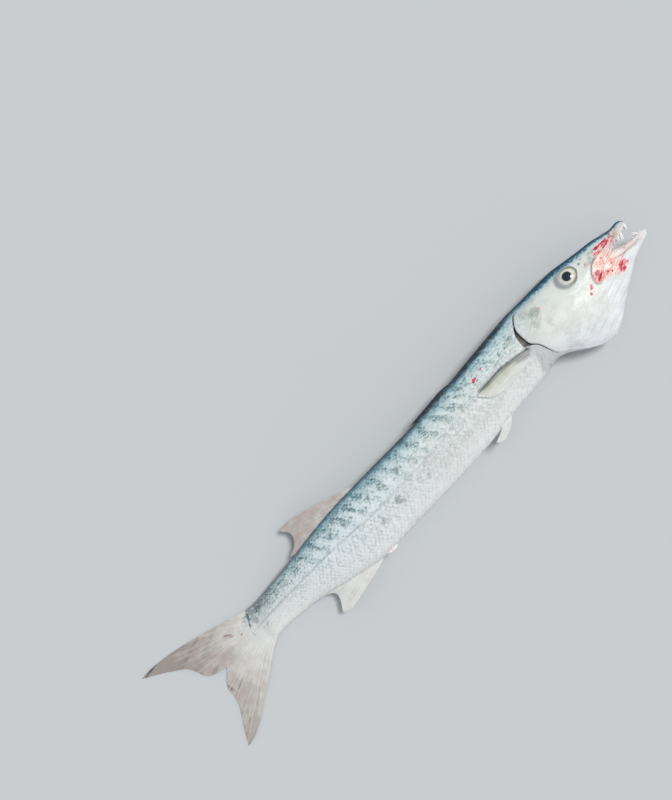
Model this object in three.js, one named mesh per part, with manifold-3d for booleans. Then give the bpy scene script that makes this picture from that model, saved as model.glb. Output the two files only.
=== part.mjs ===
// A great barracuda, life size, lying on its left side with its jaws parted.
// Millimetres. +X points to the head, +Y to the back of the fish, +Z up, away from what it lies on.
// The origin is under the middle of its box, on the surface that it lies on.
import * as THREE from 'three';
import { mergeVertices } from 'three/addons/utils/BufferGeometryUtils.js';
import Module from 'manifold-3d';

const wasm = await Module();
wasm.setup();

// Driving sizes
const GAP = 0.3; // left between touching pieces
const SIDES = 32; // points round the body
const FORWARD = 6.8; // sets the middle of the fish's length over the origin
const TAIL_ROOT = -304; // where flesh ends and the tail fin starts
const LOWER_JAW_TIP = 478.5;
const UPPER_JAW_TIP = 466;
const GAPE_END = [422, 26]; // as far back as one sees through the open mouth
const MOUTH_CORNER = [379, 9];
const HEAD_END = 270; // the skull ends here, under the gill covers
const TRUNK_SPLIT = 60;
const VENT = -95; // the trunk ends and the tail stem starts behind the vent
const EYE = { x: 357, y: 43.6, long: 17.2, short: 14.4, deep: 8.5, bulge: 3.6, tilt: 3 };
const COVER = { proud: 0.8, thick: 3.2 }; // gill cover, over the skin and in all
const SLIT_DEPTH = 9;
const MAXILLA_PROUD = 1.1;
const LIP_PROUD = 0.9;
const LID_PROUD = 1;
const THROAT_FOLD = 0.7; // half the height of the folds along the throat

// A smooth curve through the pairs [x, value], flat beyond its ends
function profile(pairs) {
  const p = [...pairs].sort((a, b) => a[0] - b[0]);
  const last = p.length - 1;
  const slope = p.map((_, i) => {
    const a = p[Math.max(i - 1, 0)];
    const b = p[Math.min(i + 1, last)];
    return (b[1] - a[1]) / (b[0] - a[0]);
  });
  return (x) => {
    if (x <= p[0][0]) return p[0][1];
    if (x >= p[last][0]) return p[last][1];
    const i = p.findIndex((q, k) => k < last && x < p[k + 1][0]);
    const h = p[i + 1][0] - p[i][0];
    const t = (x - p[i][0]) / h;
    const ease = t * t * (3 - 2 * t);
    return p[i][1] * (1 - ease) + p[i + 1][1] * ease
      + h * slope[i] * t * (1 - t) ** 2 - h * slope[i + 1] * t * t * (1 - t);
  };
}

// Side view: the line of the back, the line of the belly and throat, and the height of the widest point
const backLine = profile([[-304, 49], [-284, 47], [-249, 48.2], [-202, 51], [-150, 55.5], [-100, 58.5],
  [-20, 58.3], [58, 57.5], [125, 60.8], [230, 68.5], [262, 70.5], [292, 69.8], [327, 69.2], [350, 67.8],
  [366, 65], [391, 60.6], [416, 57], [431, 52.8], [446, 49.6], [458, 50], [466, 47], [478.5, 40]]);
const bellyLine = profile([[-304, -13.5], [-286, -9.3], [-249, -12.2], [-202, -18.7], [-150, -31.3], [-96, -41.7],
  [-22, -40.5], [58, -40], [124, -37], [188, -30.5], [250, -26], [270, -22], [288, -28], [310, -44],
  [330, -54], [347, -57.5], [371, -46.5], [399, -28], [424, -13], [441, -3], [460, 3], [470, 6.5],
  [476, 10], [478.5, 13.5]]);
const widestLine = profile([[-304, 17], [-150, 12], [0, 9], [120, 13], [240, 20], [280, 20], [320, 14],
  [359, 16], [385, 21], [410, 25.5], [430, 27], [450, 26.5], [466, 27], [478.5, 27]]);

// Half widths of the body, then of each jaw ahead of the gape's end
const fleshWidths = [[-304, 4.5], [-290, 8.5], [-266, 13.5], [-233, 19.5], [-182, 27], [-131, 32.5],
  [-80, 36.8], [-20, 39], [60, 39.5], [130, 38.5], [190, 36.5], [240, 34.5], [262, 35], [290, 35.8],
  [325, 33], [359, 28], [385, 23.5], [408, 19]];
const upperHalfWidth = profile([...fleshWidths, [428, 14.5], [446, 11], [458, 8.2], [466, 4.5]]);
const lowerHalfWidth = profile([...fleshWidths, [428, 15.5], [450, 12.8], [466, 9.6], [474, 6.4], [478.5, 2.5]]);

// How square the section is above and below its widest point: 2 is an ellipse
const upperSquareness = profile([[-304, 2], [200, 2.1], [280, 2.3], [359, 3], [400, 2.7], [466, 2.3]]);
const lowerSquareness = profile([[-304, 2], [240, 2], [300, 1.9], [347, 1.7], [390, 1.9], [440, 2.4], [478, 2.4]]);

// Height of the fish's middle plane: the tail sinks until its stem and fin lie down as well
const middleHeight = profile([[-304, 5.2], [-290, 8.2], [-266, 13], [-233, 18.7], [-182, 25.8], [-131, 31.2],
  [-80, 35.1], [-20, 36.8], [60, 37], [150, 36.5], [262, 35.2], [478, 35]]);

// Where the throat is folded, from 0 to 1
const throatFolds = profile([[280, 0], [310, 1], [370, 1], [400, 0]]);

// One point of the skin, moved out by grow. The flank is pressed flat where it lies
function skinPoint(x, angle, grow) {
  const s = Math.sin(angle);
  const c = Math.cos(angle);
  const up = s >= 0;
  const widest = widestLine(x);
  const fold = THROAT_FOLD * throatFolds(x) * Math.max(-s - 0.3, 0) * Math.cos((SIDES / 2) * angle);
  const depth = Math.max(up ? backLine(x) - widest : widest - bellyLine(x), 1) + grow + fold;
  const width = Math.max((up ? upperHalfWidth(x) : lowerHalfWidth(x)) + grow, 0.4);
  const power = 2 / (up ? upperSquareness(x) : lowerSquareness(x));
  const y = widest + depth * Math.sign(s) * Math.abs(s) ** power;
  const z = middleHeight(x) + width * Math.sign(c) * Math.abs(c) ** power;
  return new THREE.Vector3(x, y, Math.max(z, -grow, 0));
}

// Height of the skin above or below the middle plane at a place seen from the side
function flankZ(x, y, side, grow = 0) {
  const widest = widestLine(x);
  const up = y >= widest;
  const depth = (up ? backLine(x) - widest : widest - bellyLine(x)) + grow;
  const width = (up ? upperHalfWidth(x) : lowerHalfWidth(x)) + grow;
  const n = up ? upperSquareness(x) : lowerSquareness(x);
  const part = Math.min(Math.abs(y - widest) / depth, 0.999);
  return middleHeight(x) + side * width * (1 - part ** n) ** (1 / n);
}

// Evenly spaced values, the end left out
function steps(from, to, count) {
  return Array.from({ length: count }, (_, i) => from + ((to - from) * i) / count);
}

function solidOf(geometry) {
  const bare = geometry.clone();
  for (const name of Object.keys(bare.attributes)) {
    if (name !== 'position') bare.deleteAttribute(name);
  }
  const merged = mergeVertices(bare, 1e-4);
  return new wasm.Manifold(new wasm.Mesh({
    numProp: 3,
    vertProperties: new Float32Array(merged.attributes.position.array),
    triVerts: new Uint32Array(merged.index.array),
  }));
}

function geometryOf(solid) {
  const mesh = solid.getMesh();
  const geometry = new THREE.BufferGeometry();
  geometry.setAttribute('position', new THREE.BufferAttribute(new Float32Array(mesh.vertProperties), 3));
  geometry.setIndex(new THREE.BufferAttribute(new Uint32Array(mesh.triVerts), 1));
  geometry.computeVertexNormals();
  return geometry;
}

function solidFrom(points, triangles) {
  const geometry = new THREE.BufferGeometry().setFromPoints(points);
  geometry.setIndex(triangles.flat());
  return solidOf(geometry);
}

function largest(solid) {
  return solid.decompose().sort((a, b) => b.volume() - a.volume())[0];
}

// Rings of equal length joined in order, with a fan over each end
function loft(rings) {
  const n = rings[0].length;
  const middle = (ring) => ring.reduce((sum, p) => sum.add(p), new THREE.Vector3()).divideScalar(n);
  const points = [...rings.flat(), middle(rings[0]), middle(rings[rings.length - 1])];
  const startTip = points.length - 2;
  const endTip = points.length - 1;
  const triangles = [];
  for (let i = 0; i < n; i++) {
    const k = (i + 1) % n;
    triangles.push([startTip, i, k]);
    triangles.push([endTip, (rings.length - 1) * n + k, (rings.length - 1) * n + i]);
    for (let j = 0; j + 1 < rings.length; j++) {
      const a = j * n + i;
      const b = j * n + k;
      triangles.push([a, b + n, b], [a, a + n, b + n]);
    }
  }
  return solidFrom(points, triangles);
}

// The whole fish without fins, its skin moved out by grow
function flesh(grow) {
  const stations = [...steps(TAIL_ROOT, -249, 4), ...steps(-249, -90, 4), ...steps(-90, 150, 5),
    ...steps(150, 246, 4), ...steps(246, 290, 4), ...steps(290, 332, 3), ...steps(332, 362, 4), ...steps(362, 410, 4), ...steps(410, 458, 5),
    ...steps(458, LOWER_JAW_TIP, 5), LOWER_JAW_TIP];
  return loft(stations.map((x) => steps(0, 2 * Math.PI, SIDES).map((angle) => skinPoint(x, angle, grow))));
}

// An outline in side view carried through the fish from z0 to z1
function through(outline, z0 = -60, z1 = 130) {
  const shape = new THREE.Shape(outline.map(([x, y]) => new THREE.Vector2(x, y)));
  const geometry = new THREE.ExtrudeGeometry(shape, { depth: z1 - z0, bevelEnabled: false, curveSegments: 1 });
  return solidOf(geometry.translate(0, 0, z0));
}

function spline(points, count) {
  const curve = new THREE.SplineCurve(points.map(([x, y]) => new THREE.Vector2(x, y)));
  return curve.getPoints(count).map((p) => [p.x, p.y]);
}

// The outline moved outwards by a distance, with its corners kept sharp
function grown(outline, distance) {
  const turned = THREE.ShapeUtils.isClockWise(outline.map(([x, y]) => new THREE.Vector2(x, y))) ? -1 : 1;
  const normal = (a, b) => new THREE.Vector2(b[1] - a[1], a[0] - b[0]).normalize().multiplyScalar(turned);
  return outline.map((p, i) => {
    const before = normal(outline[(i + outline.length - 1) % outline.length], p);
    const after = normal(p, outline[(i + 1) % outline.length]);
    const reach = distance / (1 + before.dot(after));
    return [p[0] + (before.x + after.x) * reach, p[1] + (before.y + after.y) * reach];
  });
}

// A slot as wide as the gap, along a path in side view
function slot(path) {
  const sides = [1, -1].map((side) => path.map((p, i) => {
    const a = path[Math.max(i - 1, 0)];
    const b = path[Math.min(i + 1, path.length - 1)];
    const along = new THREE.Vector2(b[0] - a[0], b[1] - a[1]).normalize();
    return [p[0] - side * along.y * GAP / 2, p[1] + side * along.x * GAP / 2];
  }));
  return through([...sides[0], ...sides[1].reverse()]);
}

function ellipse(x, y, long, short, tilt, count) {
  const turn = THREE.MathUtils.degToRad(tilt);
  return steps(0, 2 * Math.PI, count).map((a) => [
    x + long * Math.cos(a) * Math.cos(turn) - short * Math.sin(a) * Math.sin(turn),
    y + long * Math.cos(a) * Math.sin(turn) + short * Math.sin(a) * Math.cos(turn),
  ]);
}

// Mouth
const upperRim = [GAPE_END, [430, 30.5], [439, 33], [449, 35], [458, 38], [UPPER_JAW_TIP, 41]];
const lowerRim = [GAPE_END, [434, 22], [444, 19], [455, 17], [470, 16.5], [LOWER_JAW_TIP, 14.5]];
const upperRimLine = profile(upperRim);
const lowerRimLine = profile(lowerRim);

function gape() {
  return through([...upperRim, [UPPER_JAW_TIP, 75], [LOWER_JAW_TIP + 20, 75], [LOWER_JAW_TIP + 20, 14.5],
    ...lowerRim.slice(1).reverse()]);
}

// The hollow of the mouth: stations [x, roof, floor, half width]
function mouthHollow() {
  const stations = [[334, 8, 2, 3], [345, 12, -1, 8], [362, 15, -3, 12], [382, 20, 2, 13], [404, 27, 9, 11.5],
    [422, 32, 14, 9.5], [438, 36, 12.5, 7.8], [450, 37.5, 11.5, 6.6], [460, 38, 12, 5], [470, 33, 15, 2.5]];
  return loft(stations.map(([x, roof, floor, half]) => steps(0, 2 * Math.PI, 14).map((angle) => new THREE.Vector3(
    x, (roof + floor) / 2 + ((roof - floor) / 2) * Math.sin(angle), middleHeight(x) + half * Math.cos(angle)))));
}

// A tooth from its root to its tip, a flattened cone
function tooth(root, tip, width) {
  const from = new THREE.Vector3(...root);
  const axis = new THREE.Vector3(...tip).sub(from);
  const cone = new THREE.ConeGeometry(width / 2, axis.length(), 6);
  cone.deleteAttribute('normal');
  cone.deleteAttribute('uv');
  cone.translate(0, axis.length() / 2, 0);
  cone.scale(1, 1, 0.6);
  cone.applyQuaternion(new THREE.Quaternion().setFromUnitVectors(new THREE.Vector3(0, 1, 0), axis.normalize()));
  cone.translate(from.x, from.y, from.z);
  return solidOf(cone);
}

// Teeth along both rims of a jaw: entries [x, length, lean back, width]
function teeth(rim, halfWidth, down, entries) {
  const sink = 2.5;
  const inset = 2;
  return entries.flatMap(([x, length, lean, width]) => [1, -1].map((side) => {
    const part = Math.min(Math.abs(rim(x) - widestLine(x)) / 24, 0.9);
    const z = middleHeight(x) + side * (halfWidth(x) * Math.sqrt(1 - part * part) - inset);
    const y = rim(x);
    return tooth([x + lean * 0.3, y - down * sink, z], [x - lean, y + down * length, z - side * 0.4], width);
  }));
}

// The eye: a flattened ball, set along the skin's own slope, bigger by grow for its socket
function eyeball(side, grow) {
  const skin = flankZ(EYE.x, EYE.y, side);
  const lean = Math.atan2(flankZ(EYE.x, EYE.y - 6, side) - flankZ(EYE.x, EYE.y + 6, side), 12);
  const ball = new THREE.SphereGeometry(1, 18, 12);
  ball.scale(EYE.long + grow, EYE.short + grow, EYE.deep + grow);
  ball.rotateZ(THREE.MathUtils.degToRad(EYE.tilt));
  ball.rotateX(-lean);
  ball.translate(EYE.x, EYE.y, skin - side * (EYE.deep - EYE.bulge));
  return solidOf(ball);
}

function nostrils(side) {
  return [[380.6, 45.8, 2.2], [387, 48.8, 1.6]].map(([x, y, size]) => {
    const pit = new THREE.SphereGeometry(size, 8, 6);
    pit.scale(1, 0.7, 1);
    pit.translate(x, y, flankZ(x, y, side));
    return solidOf(pit);
  });
}

// Gill covers, the slit behind them, the bone of the upper lip and the lower lip
const coverOutline = [...spline([[300, 58], [293, 43], [293, 23], [303, 0], [320, -15]], 9),
  ...spline([[300, -17], [277, -16], [270.5, -6], [266, 7], [258.3, 18], [257.4, 32], [258.2, 42.5], [263, 53],
    [271, 60]], 16), [286, 61.5]];
const slitOutline = [...spline([[270, 58.5], [256.5, 42.5], [250.4, 31], [246.7, 20], [249, 12], [258, 0], [268, -12]], 12),
  [279, -13], [276, 2], [268, 12], [264, 30], [266, 45], [275, 57]];
const maxillaOutline = spline([[459, 41], [442.5, 46], [430, 41], [413, 36.5], [400, 35], [387, 27.5], [378.7, 15],
  [379, 8.5], [386, 8], [398, 14], [411, 22], [424, 29], [440, 34.2], [455, 38]], 22);
const lowerLipOutline = [...lowerRim.map(([x, y]) => [x, y + 1]), ...lowerRim.map(([x, y]) => [x - 1, y - 4.5]).reverse()];

function outside(outline, from, to) {
  return through(outline).intersect(flesh(to)).subtract(flesh(from));
}

function halfSpace(side) {
  const box = new THREE.BoxGeometry(1200, 400, 200);
  box.translate(0, 0, 34.5 + side * 100);
  return solidOf(box);
}

function gillCover(side) {
  return largest(outside(coverOutline, COVER.proud - COVER.thick, COVER.proud).intersect(halfSpace(side)));
}

// The flesh as one piece, with its sockets, slits and mouth cut
function wholeFlesh() {
  let body = flesh(0);
  body = body.add(through(maxillaOutline).intersect(flesh(MAXILLA_PROUD)));
  body = body.add(through(lowerLipOutline).intersect(flesh(LIP_PROUD)));
  const lid = ellipse(EYE.x - 2, EYE.y, EYE.long + 2, EYE.short + 0.5, EYE.tilt, 20);
  body = body.add(through(lid).intersect(flesh(LID_PROUD)));
  body = body.subtract(gape()).subtract(mouthHollow());
  body = body.subtract(outside(grown(coverOutline, GAP), COVER.proud - COVER.thick - GAP, 6));
  body = body.subtract(outside(slitOutline, -SLIT_DEPTH, 6));
  for (const side of [1, -1]) {
    body = body.subtract(eyeball(side, GAP));
    for (const pit of nostrils(side)) body = body.subtract(pit);
  }
  return body;
}

// Thin cuts part the flesh
const jawCut = [GAPE_END, [404, 20], MOUTH_CORNER, [386, -6], [408, -34], [412, -80]];
const throatCut = [[386, -6], [360, -16], [330, -20], [300, -22], [284, -24], [HEAD_END, -22]];

function partedFlesh() {
  let body = wholeFlesh();
  const cuts = [jawCut, throatCut, ...[HEAD_END, TRUNK_SPLIT, VENT].map((x) => [[x, -120], [x, 120]])];
  for (const cut of cuts) body = body.subtract(slot(cut));
  const piece = (outline) => largest(body.intersect(through(outline)));
  const between = (x0, x1) => [[x0, -120], [x1, -120], [x1, 120], [x0, 120]];
  return {
    head: piece([[HEAD_END, 120], [HEAD_END, -22], ...throatCut.slice(0, -1).reverse(), MOUTH_CORNER, [404, 20],
      GAPE_END, [500, 45], [500, 120]]),
    lower_jaw: piece([GAPE_END, [404, 20], MOUTH_CORNER, [386, -6], [408, -34], [412, -80], [520, -80], [520, 30]]),
    throat: piece([...throatCut, [HEAD_END, -120], [412, -120], [412, -80], [408, -34]]),
    trunk_front: piece(between(TRUNK_SPLIT, HEAD_END)),
    trunk_rear: piece(between(VENT, TRUNK_SPLIT)),
    tail_stem: piece(between(TAIL_ROOT - 10, VENT)),
  };
}

// A fin between four edges, each a smooth line: rays stand up as ridges of its own surface
function fin({ base, margin, front, rear, rays, rows, root, edge, height }) {
  const curve = (points) => new THREE.SplineCurve(points.map(([x, y]) => new THREE.Vector2(x, y)));
  const [b, m, f, r] = [base, margin, front, rear].map(curve);
  const [c00, c10, c01, c11] = [b.getPoint(0), b.getPoint(1), m.getPoint(0), m.getPoint(1)];
  const columns = 2 * rays;
  const upper = [];
  const lower = [];
  for (let j = 0; j <= rows; j++) {
    for (let i = 0; i <= columns; i++) {
      const u = i / columns;
      const v = j / rows;
      const p = f.getPoint(v).multiplyScalar(1 - u).addScaledVector(r.getPoint(v), u)
        .addScaledVector(b.getPoint(u), 1 - v).addScaledVector(m.getPoint(u), v)
        .addScaledVector(c00, -(1 - u) * (1 - v)).addScaledVector(c10, -u * (1 - v))
        .addScaledVector(c01, -(1 - u) * v).addScaledVector(c11, -u * v);
      const onRay = i % 2 === 1 || i === 0 || i === columns;
      const half = (onRay ? 0.5 : 0.29) * (root + (edge - root) * v);
      const z = height(p.x, p.y, v, half, u);
      upper.push(new THREE.Vector3(p.x, p.y, z + half));
      lower.push(new THREE.Vector3(p.x, p.y, z - half));
    }
  }
  const n = columns + 1;
  const back = upper.length;
  const triangles = [];
  for (let j = 0; j < rows; j++) {
    for (let i = 0; i < columns; i++) {
      const a = j * n + i;
      const [q, s, t] = [a + 1, a + n + 1, a + n];
      triangles.push([a, q, s], [a, s, t], [a + back, s + back, q + back], [a + back, t + back, s + back]);
    }
  }
  const rim = [...steps(0, columns, columns), ...steps(0, rows, rows).map((j) => j * n + columns),
    ...steps(0, columns, columns).map((i) => rows * n + columns - i), ...steps(0, rows, rows).map((j) => (rows - j) * n)];
  rim.forEach((a, i) => {
    const q = rim[(i + 1) % rim.length];
    triangles.push([a, a + back, q + back], [a, q + back, q]);
  });
  const solid = solidFrom([...upper, ...lower], triangles);
  return solid.volume() > 0 ? solid : solidFrom([...upper, ...lower], triangles.map(([a, q, s]) => [a, s, q]));
}

function rooted(solid, body) {
  return largest(solid.subtract(body));
}

const tailHeight = profile([[-492, 1.1], [-440, 1.3], [-385, 2], [-345, 3.3], [-315, 4.7], [-304, 5.2]]);

function fins() {
  const stemEnd = TAIL_ROOT + 6;
  const middlePlane = (droop) => (x, y, v) => middleHeight(x) - droop * v * v;
  const tailPlane = (x, y, v, half) => Math.max(tailHeight(x), half);
  const tail = { rays: 9, rows: 6, root: 5.4, edge: 1.1, height: tailPlane };
  const split = GAP / 2;
  const pelvic = { rays: 5, rows: 3, root: 2.4, edge: 0.7, base: [[176, -25], [165, -26], [156, -29]] };
  return {
    tail_fin_upper_lobe: fin({ ...tail,
      base: [[stemEnd, 46], [stemEnd - 2, 32], [stemEnd - 2, 18 + split]],
      front: [[stemEnd, 46], [-313, 51.5], [-347, 62], [-382, 72.3], [-425, 83.5], [-459, 89], [-475, 90.3], [-492, 89.7]],
      margin: [[-492, 89.7], [-473, 79], [-452, 66], [-431, 51.5], [-424, 39], [-418, 24], [-405, 16.5], [-384, 11.5 + split]],
      rear: [[stemEnd - 2, 18 + split], [-340, 15 + split], [-384, 11.5 + split]] }),
    tail_fin_lower_lobe: fin({ ...tail,
      base: [[stemEnd - 2, 18 - split], [stemEnd - 2, 2], [stemEnd, -11.5]],
      front: [[stemEnd - 2, 18 - split], [-340, 15 - split], [-384, 11.5 - split]],
      margin: [[-384, 11.5 - split], [-395, 1], [-403.5, -7], [-407.5, -17], [-408, -27], [-412, -43], [-431, -70], [-444, -92]],
      rear: [[stemEnd, -11.5], [-315, -20.5], [-338, -36], [-359, -49.5], [-380, -62], [-402, -76.5], [-425, -87.5], [-444, -92]] }),
    dorsal_fin_first: fin({ rays: 5, rows: 3, root: 4.4, edge: 2, height: middlePlane(0),
      base: [[148, 58], [115, 56.5], [80, 54]],
      front: [[148, 58], [138, 62.3], [122, 64]],
      margin: [[122, 64], [94, 62], [60, 60]],
      rear: [[80, 54], [70, 58], [60, 60]] }),
    dorsal_fin_second: fin({ rays: 10, rows: 5, root: 3.4, edge: 0.8, height: middlePlane(4),
      base: [[-50, 54], [-106, 52], [-168, 48]],
      front: [[-50, 54], [-62, 61.5], [-77, 67], [-107, 77.5], [-140, 87.8], [-159, 91.8]],
      margin: [[-159, 91.8], [-180, 92.3], [-173, 82], [-172, 73], [-180, 62], [-198, 55]],
      rear: [[-168, 48], [-182, 51.5], [-198, 55]] }),
    anal_fin: fin({ rays: 9, rows: 5, root: 3.2, edge: 0.8, height: middlePlane(4),
      base: [[-90, -34], [-128, -30], [-173, -18]],
      front: [[-90, -34], [-102, -43.5], [-135, -51], [-166, -57], [-185, -59.5]],
      margin: [[-185, -59.5], [-198, -55], [-189, -41], [-186, -30], [-194, -22], [-210, -18]],
      rear: [[-173, -18], [-190, -19], [-210, -18]] }),
    pelvic_fin_right: fin({ ...pelvic, height: (x, y, v) => middleHeight(x) + 9 - 3 * v,
      front: [[176, -25], [166, -36], [156, -43], [141, -48.5]],
      margin: [[141, -48.5], [132, -47], [127.5, -43]],
      rear: [[156, -29], [146, -36], [127.5, -43]] }),
    pelvic_fin_left: fin({ ...pelvic, height: (x, y, v) => middleHeight(x) - 9 - 14 * v,
      front: [[176, -25], [166, -35], [156, -42], [143, -47]],
      margin: [[143, -47], [134, -47], [129, -43]],
      rear: [[156, -29], [146, -36], [129, -43]] }),
    pectoral_fin_right: fin({ rays: 8, rows: 4, root: 3, edge: 0.8,
      height: (x, y, v, half) => flankZ(x, y, 1) + (v < 0.05 ? -3 : 1.2 + 2.5 * v) + half,
      base: [[249, 13.5], [248, 8], [242.5, 2]],
      front: [[249, 13.5], [230, 18], [204, 21.8], [184, 21.2], [164, 20.6]],
      margin: [[164, 20.6], [157, 17.9], [167, 5.2]],
      rear: [[242.5, 2], [220, -0.5], [189, -1.8], [167, 5.2]] }),
    pectoral_fin_left: fin({ rays: 8, rows: 4, root: 1.6, edge: 0.7,
      height: (x, y, v, half) => Math.max(half, (v < 0.05 ? 3 : -0.6 - half) + flankZ(x, y, -1)),
      base: [[249, 10], [246, 4], [240, -1]],
      front: [[249, 10], [226, 4], [200, -4], [176, -12]],
      margin: [[176, -12], [169, -19], [176, -24]],
      rear: [[240, -1], [226, -14], [204, -22], [176, -24]] }),
  };
}

const upperTeeth = [[463, 5, 1, 3], [459, 4, 1, 2.4], [450, 8, 2, 3.6], [444, 4, 1, 2.6], [437, 3.4, 1, 2.4], [430, 3, 1, 2.2]];
const lowerTeeth = [[471, 3.4, 1, 2.4], [465, 8, 3, 3.6], [458, 3, 1, 2.2], [451, 3.2, 1, 2.2], [444, 3.4, 1, 2.4], [436, 3.2, 1, 2.4]];

function withTeeth(solid, list) {
  return largest(list.reduce((sum, one) => sum.add(one), solid));
}

const colours = {
  back: [0x9fb4b8, 0.35],
  flank: [0xc9d3cf, 0.32],
  belly: [0xe9ece8, 0.4],
  fin: [0xb3b3ad, 0.5],
  eye: [0xcfd2b8, 0.12],
};

function mesh(name, solid, colour) {
  const [tint, roughness] = colours[colour];
  const item = new THREE.Mesh(geometryOf(solid), new THREE.MeshStandardMaterial({ color: tint, roughness, metalness: 0 }));
  item.name = name;
  return item;
}

function build() {
  const group = new THREE.Group();
  const parts = partedFlesh();
  parts.head = withTeeth(parts.head, teeth(upperRimLine, upperHalfWidth, -1, upperTeeth));
  parts.lower_jaw = withTeeth(parts.lower_jaw, teeth(lowerRimLine, lowerHalfWidth, 1, lowerTeeth));
  const looks = { head: 'flank', lower_jaw: 'belly', throat: 'belly' };
  for (const [name, solid] of Object.entries(parts)) group.add(mesh(name, solid, looks[name] ?? 'flank'));
  for (const [name, side] of [['right', 1], ['left', -1]]) {
    group.add(mesh(`gill_cover_${name}`, gillCover(side), 'flank'));
    group.add(mesh(`eye_${name}`, eyeball(side, 0), 'eye'));
  }
  const clearance = flesh(GAP);
  for (const [name, solid] of Object.entries(fins())) group.add(mesh(name, rooted(solid, clearance), 'fin'));
  group.position.x = FORWARD;
  return group;
}

export default build();
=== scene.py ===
"""A great barracuda, life size, lying on its left side with its jaws parted.

Shape functions work in millimetres in the fish's own frame: +X points to the head, +Y to its back and +Z
up, away from what it lies on. place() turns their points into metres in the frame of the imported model.
"""

import bmesh
import bpy
import numpy as np
from bpy.props import FloatProperty, FloatVectorProperty, IntProperty, PointerProperty
from mathutils import Matrix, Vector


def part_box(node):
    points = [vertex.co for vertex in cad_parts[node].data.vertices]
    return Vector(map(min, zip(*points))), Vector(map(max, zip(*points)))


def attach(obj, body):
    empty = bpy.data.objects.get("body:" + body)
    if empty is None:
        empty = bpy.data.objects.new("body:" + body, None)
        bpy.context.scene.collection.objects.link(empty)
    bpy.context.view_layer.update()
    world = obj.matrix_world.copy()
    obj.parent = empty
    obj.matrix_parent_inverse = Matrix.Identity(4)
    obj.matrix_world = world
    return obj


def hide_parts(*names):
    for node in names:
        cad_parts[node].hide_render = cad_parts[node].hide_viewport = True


bl_info = {
    "name": "Great barracuda",
    "version": (1, 0, 0),
    "blender": (4, 5, 0),
    "location": "3D View > Sidebar > Barracuda",
    "description": "Dresses the solids of a life-size barracuda with skin, scales, fins, eyes and teeth",
    "category": "Object",
}

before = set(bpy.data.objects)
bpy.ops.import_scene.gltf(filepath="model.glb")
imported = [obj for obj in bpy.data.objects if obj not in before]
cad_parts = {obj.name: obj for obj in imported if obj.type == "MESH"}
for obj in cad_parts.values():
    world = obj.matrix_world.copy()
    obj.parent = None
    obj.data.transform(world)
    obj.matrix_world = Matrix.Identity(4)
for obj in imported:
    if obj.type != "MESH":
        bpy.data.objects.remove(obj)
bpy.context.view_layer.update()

# Driving sizes, millimetres
MM = 0.001
TAIL_ROOT = -304
FLESH_END = -336  # the flesh thins out over the roots of the tail's rays
LOWER_JAW_TIP = 478.5
UPPER_JAW_TIP = 466
MOUTH_CORNER = (379, 9)
GAPE_LEVEL = 22  # in side view it parts the upper jaw from the lower one
SCALES_END = 300
EYE = {"x": 357, "y": 43.6, "long": 17.2, "short": 14.4, "deep": 8.5, "bulge": 3.6, "tilt": 3}
PUPIL = 6.4
PUPIL_SHARE = 0.42  # where the pupil's rim lies on the way from the eye's middle to its outline
EYE_OPENING = (13.2, 11.4)
EYE_RINGS = 48
EYE_SPOKES = 72
BAR_SPACING = 24.8
BAR_LEAN = 0.6
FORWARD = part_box("lower_jaw")[1].x / MM - LOWER_JAW_TIP
REST = 0.35  # the skin's clearance from the floor, filled by scales
FLOOR_GAP = 0.05  # the least height of the skin and of a fin's underside over the floor
COAT = 0.45  # how far the skin lies inside the scales

# Starts of the random draws
SCALE_SEED = 11
FIN_SEED = 5
TEETH_SEED = 3

# The camera looks down on the fish at the photograph's angle
AIM = (14.5, 162, 34.5)
CAMERA_DISTANCE = 1584
CAMERA_BACK = (0.10453, -0.13917, 0.98474)
CAMERA_RIGHT = (0.68383, -0.70889, -0.17278)
CAMERA_UP = (0.72212, 0.69145, 0.02107)


def profile(pairs):
    """A smooth curve through pairs of x and value, flat beyond its ends.

    Between two pairs it is the cubic whose slope at each is that from the pair before to the pair after.
    """
    knots = np.array(sorted(pairs), float)
    xs, values = knots[:, 0], knots[:, 1]
    last = len(xs) - 1
    before = np.maximum(np.arange(last + 1) - 1, 0)
    after = np.minimum(np.arange(last + 1) + 1, last)
    slopes = (values[after] - values[before]) / (xs[after] - xs[before])

    def at(x):
        x = np.clip(np.asarray(x, float), xs[0], xs[-1])
        i = np.clip(np.searchsorted(xs, x, side="right") - 1, 0, last - 1)
        h = xs[i + 1] - xs[i]
        t = (x - xs[i]) / h
        ease = t * t * (3 - 2 * t)
        bend = h * slopes[i] * t * (1 - t) ** 2 - h * slopes[i + 1] * t * t * (1 - t)
        return values[i] * (1 - ease) + values[i + 1] * ease + bend

    return at


# Side view: the line of the back, the line of the belly and throat, and the height of the widest point
back_line = profile([
    (-336, 40), (-320, 46.5), (-304, 49), (-284, 47), (-249, 48.2), (-202, 51), (-150, 55.5),
    (-100, 58.5), (-20, 58.3), (58, 57.5), (125, 60.8), (230, 68.5), (262, 70.5), (292, 69.8),
    (327, 69.2), (350, 67.8), (366, 65), (391, 60.6), (416, 57), (431, 52.8), (446, 49.6), (458, 50),
    (466, 47), (478.5, 40)])
belly_line = profile([
    (-336, -12), (-320, -13), (-304, -12.5), (-286, -9.3), (-249, -12.2), (-202, -18.7), (-150, -31.3),
    (-96, -41.7), (-22, -40.5), (58, -40), (124, -37), (188, -30.5), (250, -26), (270, -22), (288, -28),
    (310, -44), (330, -54), (347, -57.5), (371, -46.5), (399, -28), (424, -13), (441, -3), (460, 3),
    (470, 6.5), (476, 10), (478.5, 13.5)])
widest_line = profile([
    (-336, 16), (-304, 17), (-150, 12), (0, 9), (120, 13), (240, 20), (280, 20), (320, 14), (359, 16),
    (385, 21), (410, 25.5), (430, 27), (450, 26.5), (466, 27), (478.5, 27)])

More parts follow.
